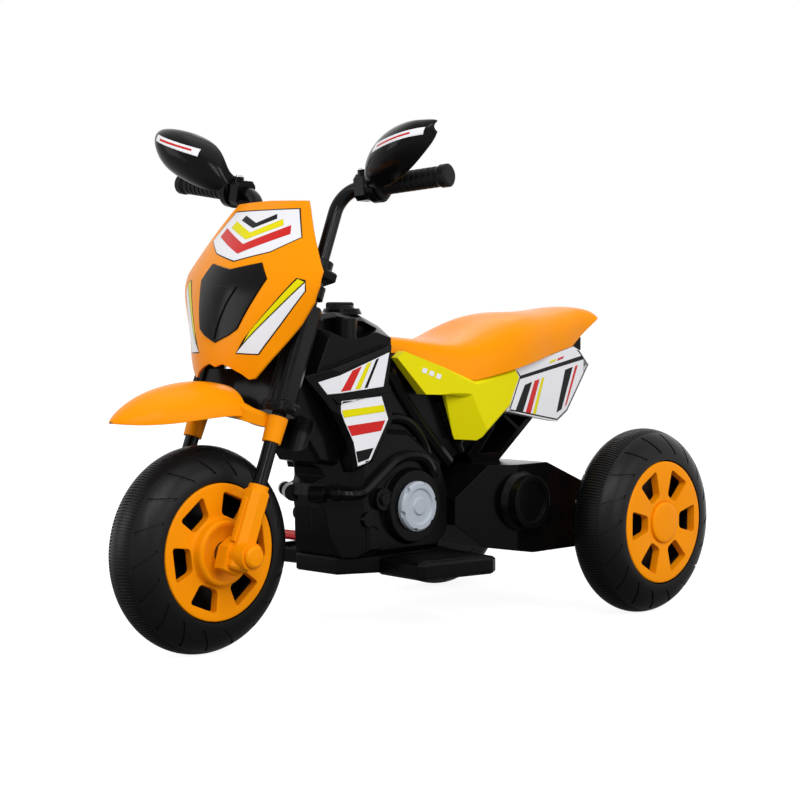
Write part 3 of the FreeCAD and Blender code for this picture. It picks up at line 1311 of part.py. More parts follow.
def make_switch_frame():
    """Bezel and case of the rocker, let into the tank side."""
    case = centred_box(SWITCH_LONG + 2 * SWITCH_WALL, -SWITCH_SINK, SWITCH_DEEP + SWITCH_WALL,
                       SWITCH_TALL + 2 * SWITCH_WALL)
    lip = centred_box(SWITCH_LONG + 6.0, -SWITCH_SINK - 2.0, -SWITCH_SINK - 0.1, SWITCH_TALL + 5.0)
    neck = centred_box(SWITCH_LONG + 2.0, -SWITCH_SINK - 1.0, 0.0, SWITCH_TALL + 2.0)
    mouth = centred_box(SWITCH_LONG, -SWITCH_SINK - 5.0, SWITCH_DEEP, SWITCH_TALL)
    pivot = Part.makeCylinder(1.5 + RUN, 40.0, V(0, 0, -20))
    return on_tank_right(fuse([case, lip, neck]).cut(group([mouth, pivot])))


def make_direction_switch():
    """Rocker for forward, stop and reverse, with two stub pivots."""
    half = SWITCH_LONG / 2.0 - 0.8
    outline = [(-half, 2.5), (half, 2.5), (half, -SWITCH_SINK - 0.4), (0, -SWITCH_SINK + 1.2),
               (-half, -SWITCH_SINK - 0.4)]
    tall = SWITCH_TALL - 1.0
    rocker = plan_prism(outline, -tall / 2.0, tall / 2.0)
    stubs = Part.makeCylinder(1.5, tall + 2.4, V(0, 0, -tall / 2.0 - 1.2))
    return on_tank_right(fuse([rocker, stubs]))


def make_body_right():
    return mirrored(make_body(False)).cut(switch_pocket())


def save(nodes):
    os.makedirs("parts", exist_ok=True)
    for node, shape in nodes.items():
        shape.exportStep("parts/" + node + ".step")


def pair(name, solid):
    return {name + "_left": solid, name + "_right": mirrored(solid)}


def wheel_nodes():
    tyre = make_tyre()
    left = rear_wheel_left(tyre)
    nodes = front_wheel(tyre)
    nodes.update(left)
    nodes.update(rear_wheel_right(left))
    return nodes


def steering_nodes():
    nodes = pair("lower_leg", make_lower_leg())
    for name, solid in (("fork_tube", make_fork_tube()), ("grip", make_grip())):
        nodes[name + "_left"] = solid
        nodes[name + "_right"] = right_bar(solid)
    nodes["hand_guard_left"] = make_guard()
    right_guard = right_bar(make_guard(GUARD_RIGHT_STRETCH), GUARD_RIGHT_SWING)
    reach = GUARD_ROWS[-1][0]
    nodes["hand_guard_right"] = right_guard.common(Part.makeBox(400, reach, 700, V(0, -reach, 0)))
    clamp = make_clamp()
    screw = make_clamp_screw()
    nodes["bar_clamps"] = group([clamp, right_bar(clamp)])
    nodes["axle_caps"] = both(make_axle_cap())
    nodes["front_axle"] = make_front_axle()
    nodes["front_axle_hardware"] = group(make_front_nuts().Solids + make_front_spacers().Solids)
    nodes["steering_fasteners"] = group([screw, right_bar(screw), make_stem_nut()])
    nodes["fork_bridge"] = make_fork_bridge()
    nodes["top_yoke"] = make_top_yoke()
    nodes["steering_stem"] = make_stem()
    nodes["front_fender"] = make_fender()
    nodes["front_mask"] = make_mask()
    nodes["mask_insert"] = make_insert()
    nodes["mask_bracket"] = make_mask_bracket()
    return nodes


def body_nodes():
    nodes = pair("side_panel", make_side_panel())
    nodes.update(pair("tail_plate", make_tail_plate()))
    nodes["body_shell_left"] = make_body(True)
    nodes["body_shell_right"] = make_body_right()
    nodes["engine_discs"] = both(make_engine_disc())
    nodes["neck_bushes"] = group([make_neck_bush(False), make_neck_bush(True)])
    nodes["tank_cap"] = make_tank_cap()
    nodes["switch_frame"] = make_switch_frame()
    nodes["direction_switch"] = make_direction_switch()
    nodes["seat"] = make_seat()
    nodes["battery"] = make_battery()
    nodes["tail_frame"] = make_tail_frame()
    return nodes


def drive_nodes():
    nodes = {"axle_box": make_axle_box(), "box_base": make_box_base(), "gearbox": make_gearbox()}
    nodes["drive_motor"] = make_motor()
    nodes["rear_axle"] = make_rear_axle()
    nodes["rear_axle_hardware"] = group(make_rear_nuts().Solids + [make_axle_spacer()])
    nodes["foot_board"] = make_foot_board()
    nodes["pedal"] = make_pedal()
    nodes["pedal_pin"] = make_pedal_pin()
    nodes["pedal_switch"] = make_pedal_switch()
    return nodes


for nodes in (wheel_nodes(), steering_nodes(), body_nodes(), drive_nodes()):
    save(nodes)
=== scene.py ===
# %% [markdown]
# # A child's electric motorbike
# The construction comes packed from CAD: every shell, tube, wheel and axle stands at its real place, in metres.
# This lesson adds what the eye needs on top of it: a camera, a plain studio, moulded plastic finishes, the fine
# tread of the hollow tyres and the stickers.

# %% Load the frame
import json
import math

import bmesh
import bpy
from mathutils import Matrix, Vector


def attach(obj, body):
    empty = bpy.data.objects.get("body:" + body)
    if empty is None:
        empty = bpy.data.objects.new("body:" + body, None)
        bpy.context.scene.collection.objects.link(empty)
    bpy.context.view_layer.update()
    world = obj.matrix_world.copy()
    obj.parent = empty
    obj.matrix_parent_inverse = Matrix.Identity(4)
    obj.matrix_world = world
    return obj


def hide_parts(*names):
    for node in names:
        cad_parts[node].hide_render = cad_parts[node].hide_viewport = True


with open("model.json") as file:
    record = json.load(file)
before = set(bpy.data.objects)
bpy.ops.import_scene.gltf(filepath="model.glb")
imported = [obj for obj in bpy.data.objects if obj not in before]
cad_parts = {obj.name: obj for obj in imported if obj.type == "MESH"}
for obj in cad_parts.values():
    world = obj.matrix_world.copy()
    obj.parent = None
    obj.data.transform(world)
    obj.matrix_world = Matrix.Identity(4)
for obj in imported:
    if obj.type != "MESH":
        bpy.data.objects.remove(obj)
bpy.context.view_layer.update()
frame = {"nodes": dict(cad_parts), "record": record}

nodes = frame["nodes"]
bpy.ops.object.select_all(action="DESELECT")

# %% [markdown]
# The photograph was taken from the front left, a little above the wheels and from some distance. A long lens from
# two metres away gives the same gentle perspective.

# %% Camera
CAMERA_AT = Vector((1.57856, 1.56849, 0.37841))
CAMERA_BACK = Vector((0.71563, 0.69677, 0.04888))
CAMERA_LENS = 83.3
SENSOR_WIDTH = 36.0

camera_data = bpy.data.cameras.new("camera")
camera_data.lens = CAMERA_LENS
camera_data.sensor_width = SENSOR_WIDTH
camera = bpy.data.objects.new("camera", camera_data)
camera.location = CAMERA_AT
camera.rotation_mode = "QUATERNION"
camera.rotation_quaternion = (-CAMERA_BACK).to_track_quat("-Z", "Y")
bpy.context.scene.collection.objects.link(camera)
bpy.context.scene.camera = camera
bpy.context.scene.view_settings.view_transform = "Standard"
print("camera", CAMERA_LENS, "mm")

# %% [markdown]
# A product picture needs a white surround that doesn't wash the object out. The world is white only to the camera and
# in mirror-like reflections, and gives a plain, even light to everything else.

# %% World
AMBIENT = 0.50

world = bpy.data.worlds.new("studio")
bpy.context.scene.world = world
world.use_nodes = True
sky = world.node_tree
sky_light = sky.nodes["Background"]
sky_light.inputs["Color"].default_value = (1.0, 1.0, 1.0, 1.0)


def seen_mask(tree):
    """1 for the rays that show the surround: straight to the camera, in gloss and through glass."""
    rays = tree.nodes.new("ShaderNodeLightPath")
    gloss = tree.nodes.new("ShaderNodeMath")
    gloss.operation = "MAXIMUM"
    clear = tree.nodes.new("ShaderNodeMath")
    clear.operation = "MAXIMUM"
    tree.links.new(rays.outputs["Is Camera Ray"], gloss.inputs[0])
    tree.links.new(rays.outputs["Is Glossy Ray"], gloss.inputs[1])
    tree.links.new(gloss.outputs[0], clear.inputs[0])
    tree.links.new(rays.outputs["Is Transmission Ray"], clear.inputs[1])
    return clear.outputs[0]


level = sky.nodes.new("ShaderNodeMapRange")
level.inputs["To Min"].default_value = AMBIENT
level.inputs["To Max"].default_value = 1.0
sky.links.new(seen_mask(sky), level.inputs["Value"])
sky.links.new(level.outputs[0], sky_light.inputs["Strength"])
print("world", AMBIENT)

# %% [markdown]
# The floor is a wide white sheet. Near the wheels most of its white is its own glow and a little is light from the
# lamps, so the shadow stays but is faint. Further out the glow is full, and the sheet runs into the white world with
# no horizon.

# %% Floor
FLOOR_SIZE = 40.0

bpy.ops.mesh.primitive_plane_add(size=FLOOR_SIZE, location=(0.0, 0.0, 0.0))
floor = bpy.context.active_object
floor.name = "floor"
floor_paint = bpy.data.materials.new("floor_paint")
floor_paint.use_nodes = True
floor.data.materials.append(floor_paint)
print("floor", FLOOR_SIZE, "m")

# %% [markdown]
# The glow follows the distance from the middle. In reflections the floor is dark right under the object, where a real
# floor would lie in its shade, and so is its share of lamp light.

# %% Floor glow
FLOOR_GREY = (0.30, 0.30, 0.30, 1.0)
MIRRORED_GREY = (0.03, 0.03, 0.03, 1.0)
NEAR_GLOW = 0.90
NEAR_REACH = (0.45, 1.3)
UNDER_GLOW = 0.15
UNDER_REACH = (0.3, 1.3)

paint = floor_paint.node_tree
matt = paint.nodes["Principled BSDF"]
matt.inputs["Roughness"].default_value = 0.9
matt.inputs["Specular IOR Level"].default_value = 0.0
place = paint.nodes.new("ShaderNodeTexCoord")
reach = paint.nodes.new("ShaderNodeVectorMath")
reach.operation = "LENGTH"
paint.links.new(place.outputs["Object"], reach.inputs[0])


def glow_by_reach(low, span):
    """Glow that rises from low at the start of the span, in metres from the middle, to full at its end."""
    fade = paint.nodes.new("ShaderNodeMapRange")
    fade.interpolation_type = "SMOOTHSTEP"
    fade.inputs["From Min"].default_value = span[0]
    fade.inputs["From Max"].default_value = span[1]
    fade.inputs["To Min"].default_value = low
    fade.inputs["To Max"].default_value = 1.0
    paint.links.new(reach.outputs["Value"], fade.inputs["Value"])
    return fade.outputs["Result"]


rays = paint.nodes.new("ShaderNodeLightPath")
dim = paint.nodes.new("ShaderNodeMix")
dim.data_type = "RGBA"
dim.inputs["A"].default_value = FLOOR_GREY
dim.inputs["B"].default_value = MIRRORED_GREY
paint.links.new(rays.outputs["Is Glossy Ray"], dim.inputs["Factor"])
paint.links.new(dim.outputs["Result"], matt.inputs["Base Color"])
shade = paint.nodes.new("ShaderNodeMix")
paint.links.new(rays.outputs["Is Camera Ray"], shade.inputs["Factor"])
paint.links.new(glow_by_reach(UNDER_GLOW, UNDER_REACH), shade.inputs["A"])
paint.links.new(glow_by_reach(NEAR_GLOW, NEAR_REACH), shade.inputs["B"])
strength = paint.nodes.new("ShaderNodeMath")
strength.operation = "MULTIPLY"
paint.links.new(shade.outputs["Result"], strength.inputs[0])
paint.links.new(seen_mask(paint), strength.inputs[1])
glow = paint.nodes.new("ShaderNodeEmission")
glow.inputs["Color"].default_value = (1.0, 1.0, 1.0, 1.0)
paint.links.new(strength.outputs[0], glow.inputs["Strength"])
both_shaders = paint.nodes.new("ShaderNodeAddShader")
paint.links.new(matt.outputs[0], both_shaders.inputs[0])
paint.links.new(glow.outputs[0], both_shaders.inputs[1])
paint.links.new(both_shaders.outputs[0], paint.nodes["Material Output"].inputs["Surface"])
print("glow", NEAR_GLOW, "near,", UNDER_GLOW, "in reflections")

# %% [markdown]
# Softboxes model the shapes: two tall ones in front as the main light, one over the saddle, one along the left side
# for the panels and wheels, and two on the far side, which draw the bright lines along the edges.

# %% Lights
def softbox(name, place, target, size, power):
    lamp = bpy.data.lights.new(name, "AREA")
    lamp.shape = "RECTANGLE"
    lamp.size = size[0]
    lamp.size_y = size[1]
    lamp.energy = power
    holder = bpy.data.objects.new(name, lamp)
    holder.location = place
    way = Vector(target) - Vector(place)
    holder.rotation_mode = "QUATERNION"
    holder.rotation_quaternion = way.to_track_quat("-Z", "Y")
    bpy.context.scene.collection.objects.link(holder)
    return holder


CENTRE = (0.0, 0.0, 0.3)
softbox("main_light", (0.85, 2.62, 2.2), CENTRE, (0.5, 1.6), 30.0)
softbox("front_light", (1.9, 2.03, 2.0), CENTRE, (0.5, 1.6), 27.0)
softbox("top_light", (-0.2, 0.2, 2.6), CENTRE, (2.4, 1.6), 12.0)
softbox("side_light", (2.4, -1.4, 1.0), CENTRE, (1.2, 1.6), 22.0)
softbox("left_light", (-0.7, 2.9, 1.0), CENTRE, (2.0, 1.4), 22.0)
softbox("back_light", (-1.9, -1.4, 2.3), CENTRE, (1.1, 1.1), 6.0)

# %% [markdown]
# Moulded plastic is never quite even. Its skin has a fine grain from the mould, and its gloss drifts slowly over a
# panel. One shader group makes both, and every plastic takes it with its own values.

# %% Moulded skin group
def add_socket(group, name, way, kind, value=None):
    socket = group.interface.new_socket(name=name, in_out=way, socket_type=kind)
    if value is not None:
        socket.default_value = value
    return socket


def make_moulded_skin():
    group = bpy.data.node_groups.new("moulded_skin", "ShaderNodeTree")
    add_socket(group, "Grain Scale", "INPUT", "NodeSocketFloat", 1500.0)
    add_socket(group, "Drift Scale", "INPUT", "NodeSocketFloat", 14.0)
    add_socket(group, "Low Roughness", "INPUT", "NodeSocketFloat", 0.25)
    add_socket(group, "High Roughness", "INPUT", "NodeSocketFloat", 0.35)
    add_socket(group, "Colour", "INPUT", "NodeSocketColor", (0.5, 0.5, 0.5, 1.0))
    add_socket(group, "Deep Colour", "INPUT", "NodeSocketColor", (0.4, 0.4, 0.4, 1.0))
    add_socket(group, "Base Color", "OUTPUT", "NodeSocketColor")
    add_socket(group, "Roughness", "OUTPUT", "NodeSocketFloat")
    add_socket(group, "Height", "OUTPUT", "NodeSocketFloat")
    make = group.nodes.new
    join = group.links.new
    source = make("NodeGroupInput")
    result = make("NodeGroupOutput")
    place = make("ShaderNodeTexCoord")
    grain = make("ShaderNodeTexNoise")
    grain.inputs["Detail"].default_value = 2.0
    drift = make("ShaderNodeTexNoise")
    drift.inputs["Detail"].default_value = 3.0
    shine = make("ShaderNodeMapRange")
    shine.inputs["From Min"].default_value = 0.3
    shine.inputs["From Max"].default_value = 0.7
    tint = make("ShaderNodeMix")
    tint.data_type = "RGBA"
    join(place.outputs["Object"], grain.inputs["Vector"])
    join(place.outputs["Object"], drift.inputs["Vector"])
    join(source.outputs["Grain Scale"], grain.inputs["Scale"])
    join(source.outputs["Drift Scale"], drift.inputs["Scale"])
    join(drift.outputs["Fac"], shine.inputs["Value"])
    join(source.outputs["Low Roughness"], shine.inputs["To Min"])
    join(source.outputs["High Roughness"], shine.inputs["To Max"])
    join(drift.outputs["Fac"], tint.inputs["Factor"])
    join(source.outputs["Colour"], tint.inputs["A"])
    join(source.outputs["Deep Colour"], tint.inputs["B"])
    join(tint.outputs["Result"], result.inputs["Base Color"])
    join(shine.outputs["Result"], result.inputs["Roughness"])
    join(grain.outputs["Fac"], result.inputs["Height"])
    return group


moulded_skin = make_moulded_skin()
print("group", moulded_skin.name)

# %% [markdown]
# A moulded edge is never sharp: it has a small radius that catches the light. The Bevel node gives every edge that
# soft line without touching the mesh, and the grain is added on top of it as a bump. Surfaces that turn away from the
# eye mirror the white studio more, which the coat gives.

# %% Plastic finishes
EDGE_SHEEN = 0.3
SHEEN_POWER = 3.0
COAT_ROUGHNESS = 0.15
GRAIN_STRENGTH = 0.5
BEVEL_SAMPLES = 4


def plastic(name, colour, deep, gloss, grain, edge, mirror):
    """gloss is (low, high) roughness, grain (scale, depth), edge the edges' radius and mirror the specular level."""
    material = bpy.data.materials.new(name)
    material.use_nodes = True
    tree = material.node_tree
    shader = tree.nodes["Principled BSDF"]
    skin = tree.nodes.new("ShaderNodeGroup")
    skin.node_tree = moulded_skin
    skin.inputs["Grain Scale"].default_value = grain[0]
    skin.inputs["Low Roughness"].default_value = gloss[0]
    skin.inputs["High Roughness"].default_value = gloss[1]
    skin.inputs["Colour"].default_value = (*colour, 1.0)
    skin.inputs["Deep Colour"].default_value = (*deep, 1.0)
    bump = tree.nodes.new("ShaderNodeBump")
    bump.inputs["Strength"].default_value = GRAIN_STRENGTH
    bump.inputs["Distance"].default_value = grain[1]
    soft_edge = tree.nodes.new("ShaderNodeBevel")
    soft_edge.samples = BEVEL_SAMPLES
    soft_edge.inputs["Radius"].default_value = edge
    tree.links.new(soft_edge.outputs["Normal"], bump.inputs["Normal"])
    tree.links.new(skin.outputs["Base Color"], shader.inputs["Base Color"])
    tree.links.new(skin.outputs["Roughness"], shader.inputs["Roughness"])
    tree.links.new(skin.outputs["Height"], bump.inputs["Height"])
    tree.links.new(bump.outputs["Normal"], shader.inputs["Normal"])
    shader.inputs["Specular IOR Level"].default_value = mirror
    tilt = tree.nodes.new("ShaderNodeLayerWeight")
    rise = tree.nodes.new("ShaderNodeMath")
    rise.operation = "POWER"
    rise.inputs[1].default_value = SHEEN_POWER
    sheen = tree.nodes.new("ShaderNodeMath")
    sheen.operation = "MULTIPLY"
    sheen.inputs[1].default_value = EDGE_SHEEN
    tree.links.new(tilt.outputs["Facing"], rise.inputs[0])
    tree.links.new(rise.outputs[0], sheen.inputs[0])
    tree.links.new(sheen.outputs[0], shader.inputs["Coat Weight"])
    shader.inputs["Coat Roughness"].default_value = COAT_ROUGHNESS
    return material


PLASTICS = {
    "orange_plastic": ((0.92, 0.297, 0.0010), (0.88, 0.272, 0.0008), (0.27, 0.36), (900.0, 0.0002), 0.0014, 0.06),
    "lime_plastic": ((0.76, 0.69, 0.002), (0.72, 0.64, 0.002), (0.30, 0.40), (900.0, 0.0002), 0.0014, 0.07),
    "black_gloss": ((0.003, 0.003, 0.0033), (0.004, 0.004, 0.0044), (0.14, 0.22), (600.0, 0.0001), 0.0012, 0.08),
    "black_satin": ((0.0022, 0.0022, 0.0024), (0.0034, 0.0034, 0.0037), (0.16, 0.26), (1200.0, 0.0001), 0.0018, 0.075),
    "wheel_black": ((0.005, 0.005, 0.0053), (0.007, 0.007, 0.0074), (0.25, 0.36), (1500.0, 0.0002), 0.0008, 0.13),
    "white_panel": ((0.80, 0.80, 0.83), (0.76, 0.76, 0.80), (0.24, 0.32), (700.0, 0.0001), 0.001, 0.2),
    "silver_plastic": ((0.42, 0.46, 0.52), (0.37, 0.41, 0.47), (0.36, 0.48), (1800.0, 0.0002), 0.0008, 0.3),
    "red_plastic": ((0.60, 0.010, 0.008), (0.54, 0.008, 0.006), (0.28, 0.38), (900.0, 0.0002), 0.001, 0.2),
    "black_tube": ((0.003, 0.003, 0.0033), (0.004, 0.004, 0.0044), (0.12, 0.20), (500.0, 0.0001), 0.0006, 0.12),
    "grip_rubber": ((0.004, 0.004, 0.0043), (0.006, 0.006, 0.0064), (0.5, 0.65), (2200.0, 0.0003), 0.0006, 0.12),
    "nylon": ((0.66, 0.65, 0.60), (0.60, 0.59, 0.54), (0.40, 0.52), (1500.0, 0.0002), 0.0006, 0.3),
    "battery_case": ((0.02, 0.02, 0.022), (0.03, 0.03, 0.033), (0.42, 0.55), (1500.0, 0.0002), 0.001, 0.3),
}
finishes = {name: plastic(name, *values) for name, values in PLASTICS.items()}
print("finishes", sorted(finishes))

# %% [markdown]
# The axles, nuts and the motor can are plated steel. Their grain runs in fine streaks from the turning tool, so the
# noise is stretched along the piece.

# %% Steel finishes
STREAK_STRETCH = (1.0, 0.08, 1.0)
STREAK_SCALE = 900.0


def steel(name, colour, gloss):
    material = bpy.data.materials.new(name)
    material.use_nodes = True
    tree = material.node_tree
    shader = tree.nodes["Principled BSDF"]
    shader.inputs["Base Color"].default_value = (*colour, 1.0)
    shader.inputs["Metallic"].default_value = 1.0
    place = tree.nodes.new("ShaderNodeTexCoord")
    stretch = tree.nodes.new("ShaderNodeMapping")
    stretch.inputs["Scale"].default_value = STREAK_STRETCH
    streaks = tree.nodes.new("ShaderNodeTexNoise")
    streaks.inputs["Scale"].default_value = STREAK_SCALE
    shine = tree.nodes.new("ShaderNodeMapRange")
    shine.inputs["To Min"].default_value = gloss[0]
    shine.inputs["To Max"].default_value = gloss[1]
    tree.links.new(place.outputs["Object"], stretch.inputs["Vector"])
    tree.links.new(stretch.outputs["Vector"], streaks.inputs["Vector"])
    tree.links.new(streaks.outputs["Fac"], shine.inputs["Value"])
    tree.links.new(shine.outputs["Result"], shader.inputs["Roughness"])
    return material


finishes["axle_steel"] = steel("axle_steel", (0.60, 0.61, 0.63), (0.22, 0.42))
finishes["motor_case"] = steel("motor_case", (0.50, 0.51, 0.53), (0.28, 0.48))
print("steel", [name for name in finishes if name not in PLASTICS])

# %% [markdown]
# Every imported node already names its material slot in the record, so the new finishes go on by that name. Only the
# drive coupler, which shows under the body, is made black like the wheel that it turns.

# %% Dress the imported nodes
def dress(piece, finish):
    piece.data.materials.clear()
    piece.data.materials.append(finishes[finish])


for entry in frame["record"]["subparts"]:
    dress(nodes[entry["node"]], entry["material_slot"])
dress(nodes["drive_coupler"], "wheel_black")

# %% [markdown]
# The tyres are blow-moulded rings with a full round section. Fine ribs cross the crown, and a slanted groove cuts each
# shoulder every twenty degrees. One twenty-degree piece of one half is enough to model: the section is spun into it,
# every second strip of the crown and the groove are pressed in, and the rest is copies. The section starts as a circle
# and is walked on, point by point, round the ledge of the rim, the web and the hub.

# %% Half section of a tyre
MM = 0.001
WHEEL_R = 0.115
TYRE_HALF = 0.035
RING_R = WHEEL_R - TYRE_HALF
SECTION_POINTS = 72
LIP_ANGLE = math.radians(95.0)
LEDGE = [(0.077, 0.024), (0.0641, 0.024), (0.0641, 0.019), (0.082, 0.019), (0.082, 0.0299), (0.094, 0.0265),
         (0.104, 0.0180), (0.1097, 0.004), (0.028, 0.004), (0.026, 0.024), (0.0082, 0.024)]


def pick(piece, kind, test):
    """Selects in edit mode the vertices or faces whose middle passes the test."""
    bpy.ops.mesh.select_all(action="DESELECT")
    shape = bmesh.from_edit_mesh(piece.data)
    if kind == "VERT":
        for vert in shape.verts:
            vert.select_set(test(vert.co, vert.normal))
    else:
        for face in shape.faces:
            face.select_set(test(face.calc_center_median(), face.normal))
    bmesh.update_edit_mesh(piece.data)


bpy.ops.object.select_all(action="DESELECT")
bpy.ops.mesh.primitive_circle_add(vertices=SECTION_POINTS, radius=TYRE_HALF, location=(0.0, 0.0, RING_R),
                                  rotation=(0.0, math.radians(90.0), 0.0))
tyre = bpy.context.active_object
bpy.ops.object.transform_apply(location=True, rotation=True, scale=True)
bpy.ops.object.mode_set(mode="EDIT")
bpy.ops.mesh.select_mode(type="VERT")
pick(tyre, "VERT", lambda co, no: co.y < -1e-5 or co.z < LEDGE[0][0] - 0.0004)
bpy.ops.mesh.delete(type="VERT")
pick(tyre, "VERT", lambda co, no: co.z < LEDGE[0][0] + 0.001)
walk = [Vector((0.0, y, z)) for z, y in LEDGE]
here = Vector((0.0, TYRE_HALF * math.sin(LIP_ANGLE), RING_R + TYRE_HALF * math.cos(LIP_ANGLE)))
for there in walk:
    bpy.ops.mesh.extrude_region_move(TRANSFORM_OT_translate={"value": there - here})
    here = there
bpy.ops.object.mode_set(mode="OBJECT")
print("half section", len(tyre.data.vertices), "points")

# %% [markdown]
# The section is spun through twenty degrees. Strips of the crown are selected by their angle, and the groove is marked
# by two cuts with slanted planes.

# %% Ribs and groove of one piece
PIECES = 18
RIBS = 11
RIB_DEEP = 0.0014
CROWN_HALF = 0.0185
GROOVE_WIDE = 0.0030
GROOVE_DEEP = 0.0016
GROOVE_OUT = 0.1085
GROOVE_IN = 0.0850
GROOVE_SLANT = 0.0095
LIP_R = 0.0772
SKIN = 0.002

turn = 2.0 * math.pi / PIECES
strip = turn / (2 * RIBS)
bpy.ops.object.mode_set(mode="EDIT")
bpy.ops.mesh.select_all(action="SELECT")
bpy.ops.mesh.spin(steps=2 * RIBS, angle=turn, center=(0.0, 0.0, 0.0), axis=(0.0, 1.0, 0.0))
bpy.ops.mesh.select_mode(type="FACE")
swing = max((math.atan2(v.co.x, v.co.z) for v in bmesh.from_edit_mesh(tyre.data).verts), key=abs)
way = 1.0 if swing > 0.0 else -1.0


def on_skin(co):
    """True on the outer skin, above the lip of the rim."""
    r = math.hypot(co.x, co.z)
    return r > LIP_R and (r - RING_R) ** 2 + co.y ** 2 > (TYRE_HALF - SKIN) ** 2


def strip_number(co):
    return int(way * math.atan2(co.x, co.z) / strip)


pick(tyre, "FACE", lambda co, no: on_skin(co) and co.y < CROWN_HALF and co.z > 0.0 and strip_number(co) % 2 == 1)
bpy.ops.mesh.extrude_region_shrink_fatten(TRANSFORM_OT_shrink_fatten={"value": -RIB_DEEP})
pick(tyre, "FACE", lambda co, no: abs(co.y) < 1e-4)
bpy.ops.mesh.delete(type="FACE")

radial = Vector((math.sin(way * turn / 2), 0.0, math.cos(turn / 2)))
along = Vector((math.cos(turn / 2), 0.0, -math.sin(way * turn / 2)))
groove_line = radial * (GROOVE_OUT - GROOVE_IN) + along * 2.0 * GROOVE_SLANT
groove_side = groove_line.cross(Vector((0.0, 1.0, 0.0))).normalized()
groove_mid = radial * (GROOVE_OUT + GROOVE_IN) / 2.0


def on_shoulder(co):
    r = math.hypot(co.x, co.z)
    return on_skin(co) and co.y > CROWN_HALF + 0.001 and GROOVE_IN < r < GROOVE_OUT


for side in (-0.5, 0.5):
    pick(tyre, "FACE", lambda co, no: on_shoulder(co))
    bpy.ops.mesh.bisect(plane_co=groove_mid + groove_side * GROOVE_WIDE * side, plane_no=groove_side,
                        threshold=1e-6)
pick(tyre, "FACE", lambda co, no: on_shoulder(co) and abs((co - groove_mid).dot(groove_side)) < GROOVE_WIDE / 2)
bpy.ops.mesh.extrude_region_shrink_fatten(TRANSFORM_OT_shrink_fatten={"value": -GROOVE_DEEP})
bpy.ops.object.mode_set(mode="OBJECT")
print("piece", len(tyre.data.polygons), "faces", "way", way)

# %% [markdown]
# The half is mirrored over the middle of the wheel, and the piece is copied round the axle. The doubles on the seams
# are merged, the normals are set outwards, and each wheel gets its own copy at its axle.

# %% Three tyres
TYRE_SMOOTH = math.radians(28.0)

mirror = tyre.modifiers.new("mirror", "MIRROR")
mirror.use_axis = (False, True, False)
mirror.merge_threshold = 0.0003
bpy.ops.object.modifier_apply(modifier=mirror.name)
bpy.ops.object.mode_set(mode="EDIT")
bpy.ops.mesh.select_all(action="SELECT")
bpy.ops.mesh.spin(steps=PIECES - 1, angle=2.0 * math.pi - turn, center=(0.0, 0.0, 0.0), axis=(0.0, 1.0, 0.0),
                  dupli=True)
bpy.ops.mesh.select_all(action="SELECT")
bpy.ops.mesh.remove_doubles(threshold=0.00005)
bpy.ops.mesh.normals_make_consistent(inside=False)
bpy.ops.object.mode_set(mode="OBJECT")
bpy.ops.object.shade_smooth_by_angle(angle=TYRE_SMOOTH)

AXLES = {"front": ((0.283, 0.0, WHEEL_R), "front_wheel"),
         "rear_left": ((-0.287, 0.174, WHEEL_R), "rear_wheel_left"),
         "rear_right": ((-0.287, -0.174, WHEEL_R), "rear_wheel_right")}
for name, (axle, body) in AXLES.items():
    wheel_tyre = tyre.copy()
    wheel_tyre.data = tyre.data.copy()
    wheel_tyre.name = name + "_tread_tyre"
    bpy.context.scene.collection.objects.link(wheel_tyre)
    wheel_tyre.data.transform(Matrix.Translation(axle))
    dress(wheel_tyre, "wheel_black")
    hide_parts(name + "_tyre")
    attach(wheel_tyre, body)
bpy.data.objects.remove(tyre)
print("tyres", len(wheel_tyre.data.polygons), "faces each")

# %% [markdown]
# The orange rim covers are flat moulded discs with six windows. Their half section is walked point by point, closed and
# spun round the axle. The windows are sheets with rounded corners, pulled through the disc and copied round it, and a
# Boolean takes them out. The gap to the tyre's lip stays open and shows as a dark line.

# %% Turned pieces and windows
TURN_STEPS = 96
WINDOWS = 6
WINDOW_ROUND = 0.0042
WINDOW_FROM = 0.020
WINDOW_THROUGH = 0.025


def turned(name, section):
    """A piece turned about the axle from its closed half section of (radius, along the axle) in millimetres."""
    points = [Vector((0.0, y, r)) * MM for r, y in section]
    bpy.ops.object.select_all(action="DESELECT")
    bpy.ops.mesh.primitive_circle_add(vertices=3, radius=MM, location=points[0])
    piece = bpy.context.active_object
    bpy.ops.object.transform_apply(location=True, rotation=True, scale=True)
    bpy.ops.object.mode_set(mode="EDIT")
    bpy.ops.mesh.select_mode(type="VERT")
    bpy.ops.mesh.select_all(action="SELECT")
    bpy.ops.mesh.merge(type="CENTER")
    for here, there in zip(points, points[1:]):
        bpy.ops.mesh.extrude_region_move(TRANSFORM_OT_translate={"value": there - here})
    pick(piece, "VERT", lambda co, no: min((co - points[0]).length, (co - points[-1]).length) < 1e-6)
    bpy.ops.mesh.edge_face_add()
    bpy.ops.mesh.select_all(action="SELECT")
    bpy.ops.mesh.spin(steps=TURN_STEPS, angle=2.0 * math.pi, center=(0.0, 0.0, 0.0), axis=(0.0, 1.0, 0.0))
    bpy.ops.mesh.select_all(action="SELECT")
    bpy.ops.mesh.remove_doubles(threshold=0.00002)
    bpy.ops.mesh.normals_make_consistent(inside=False)
    bpy.ops.object.mode_set(mode="OBJECT")
    piece.name = name
    return piece


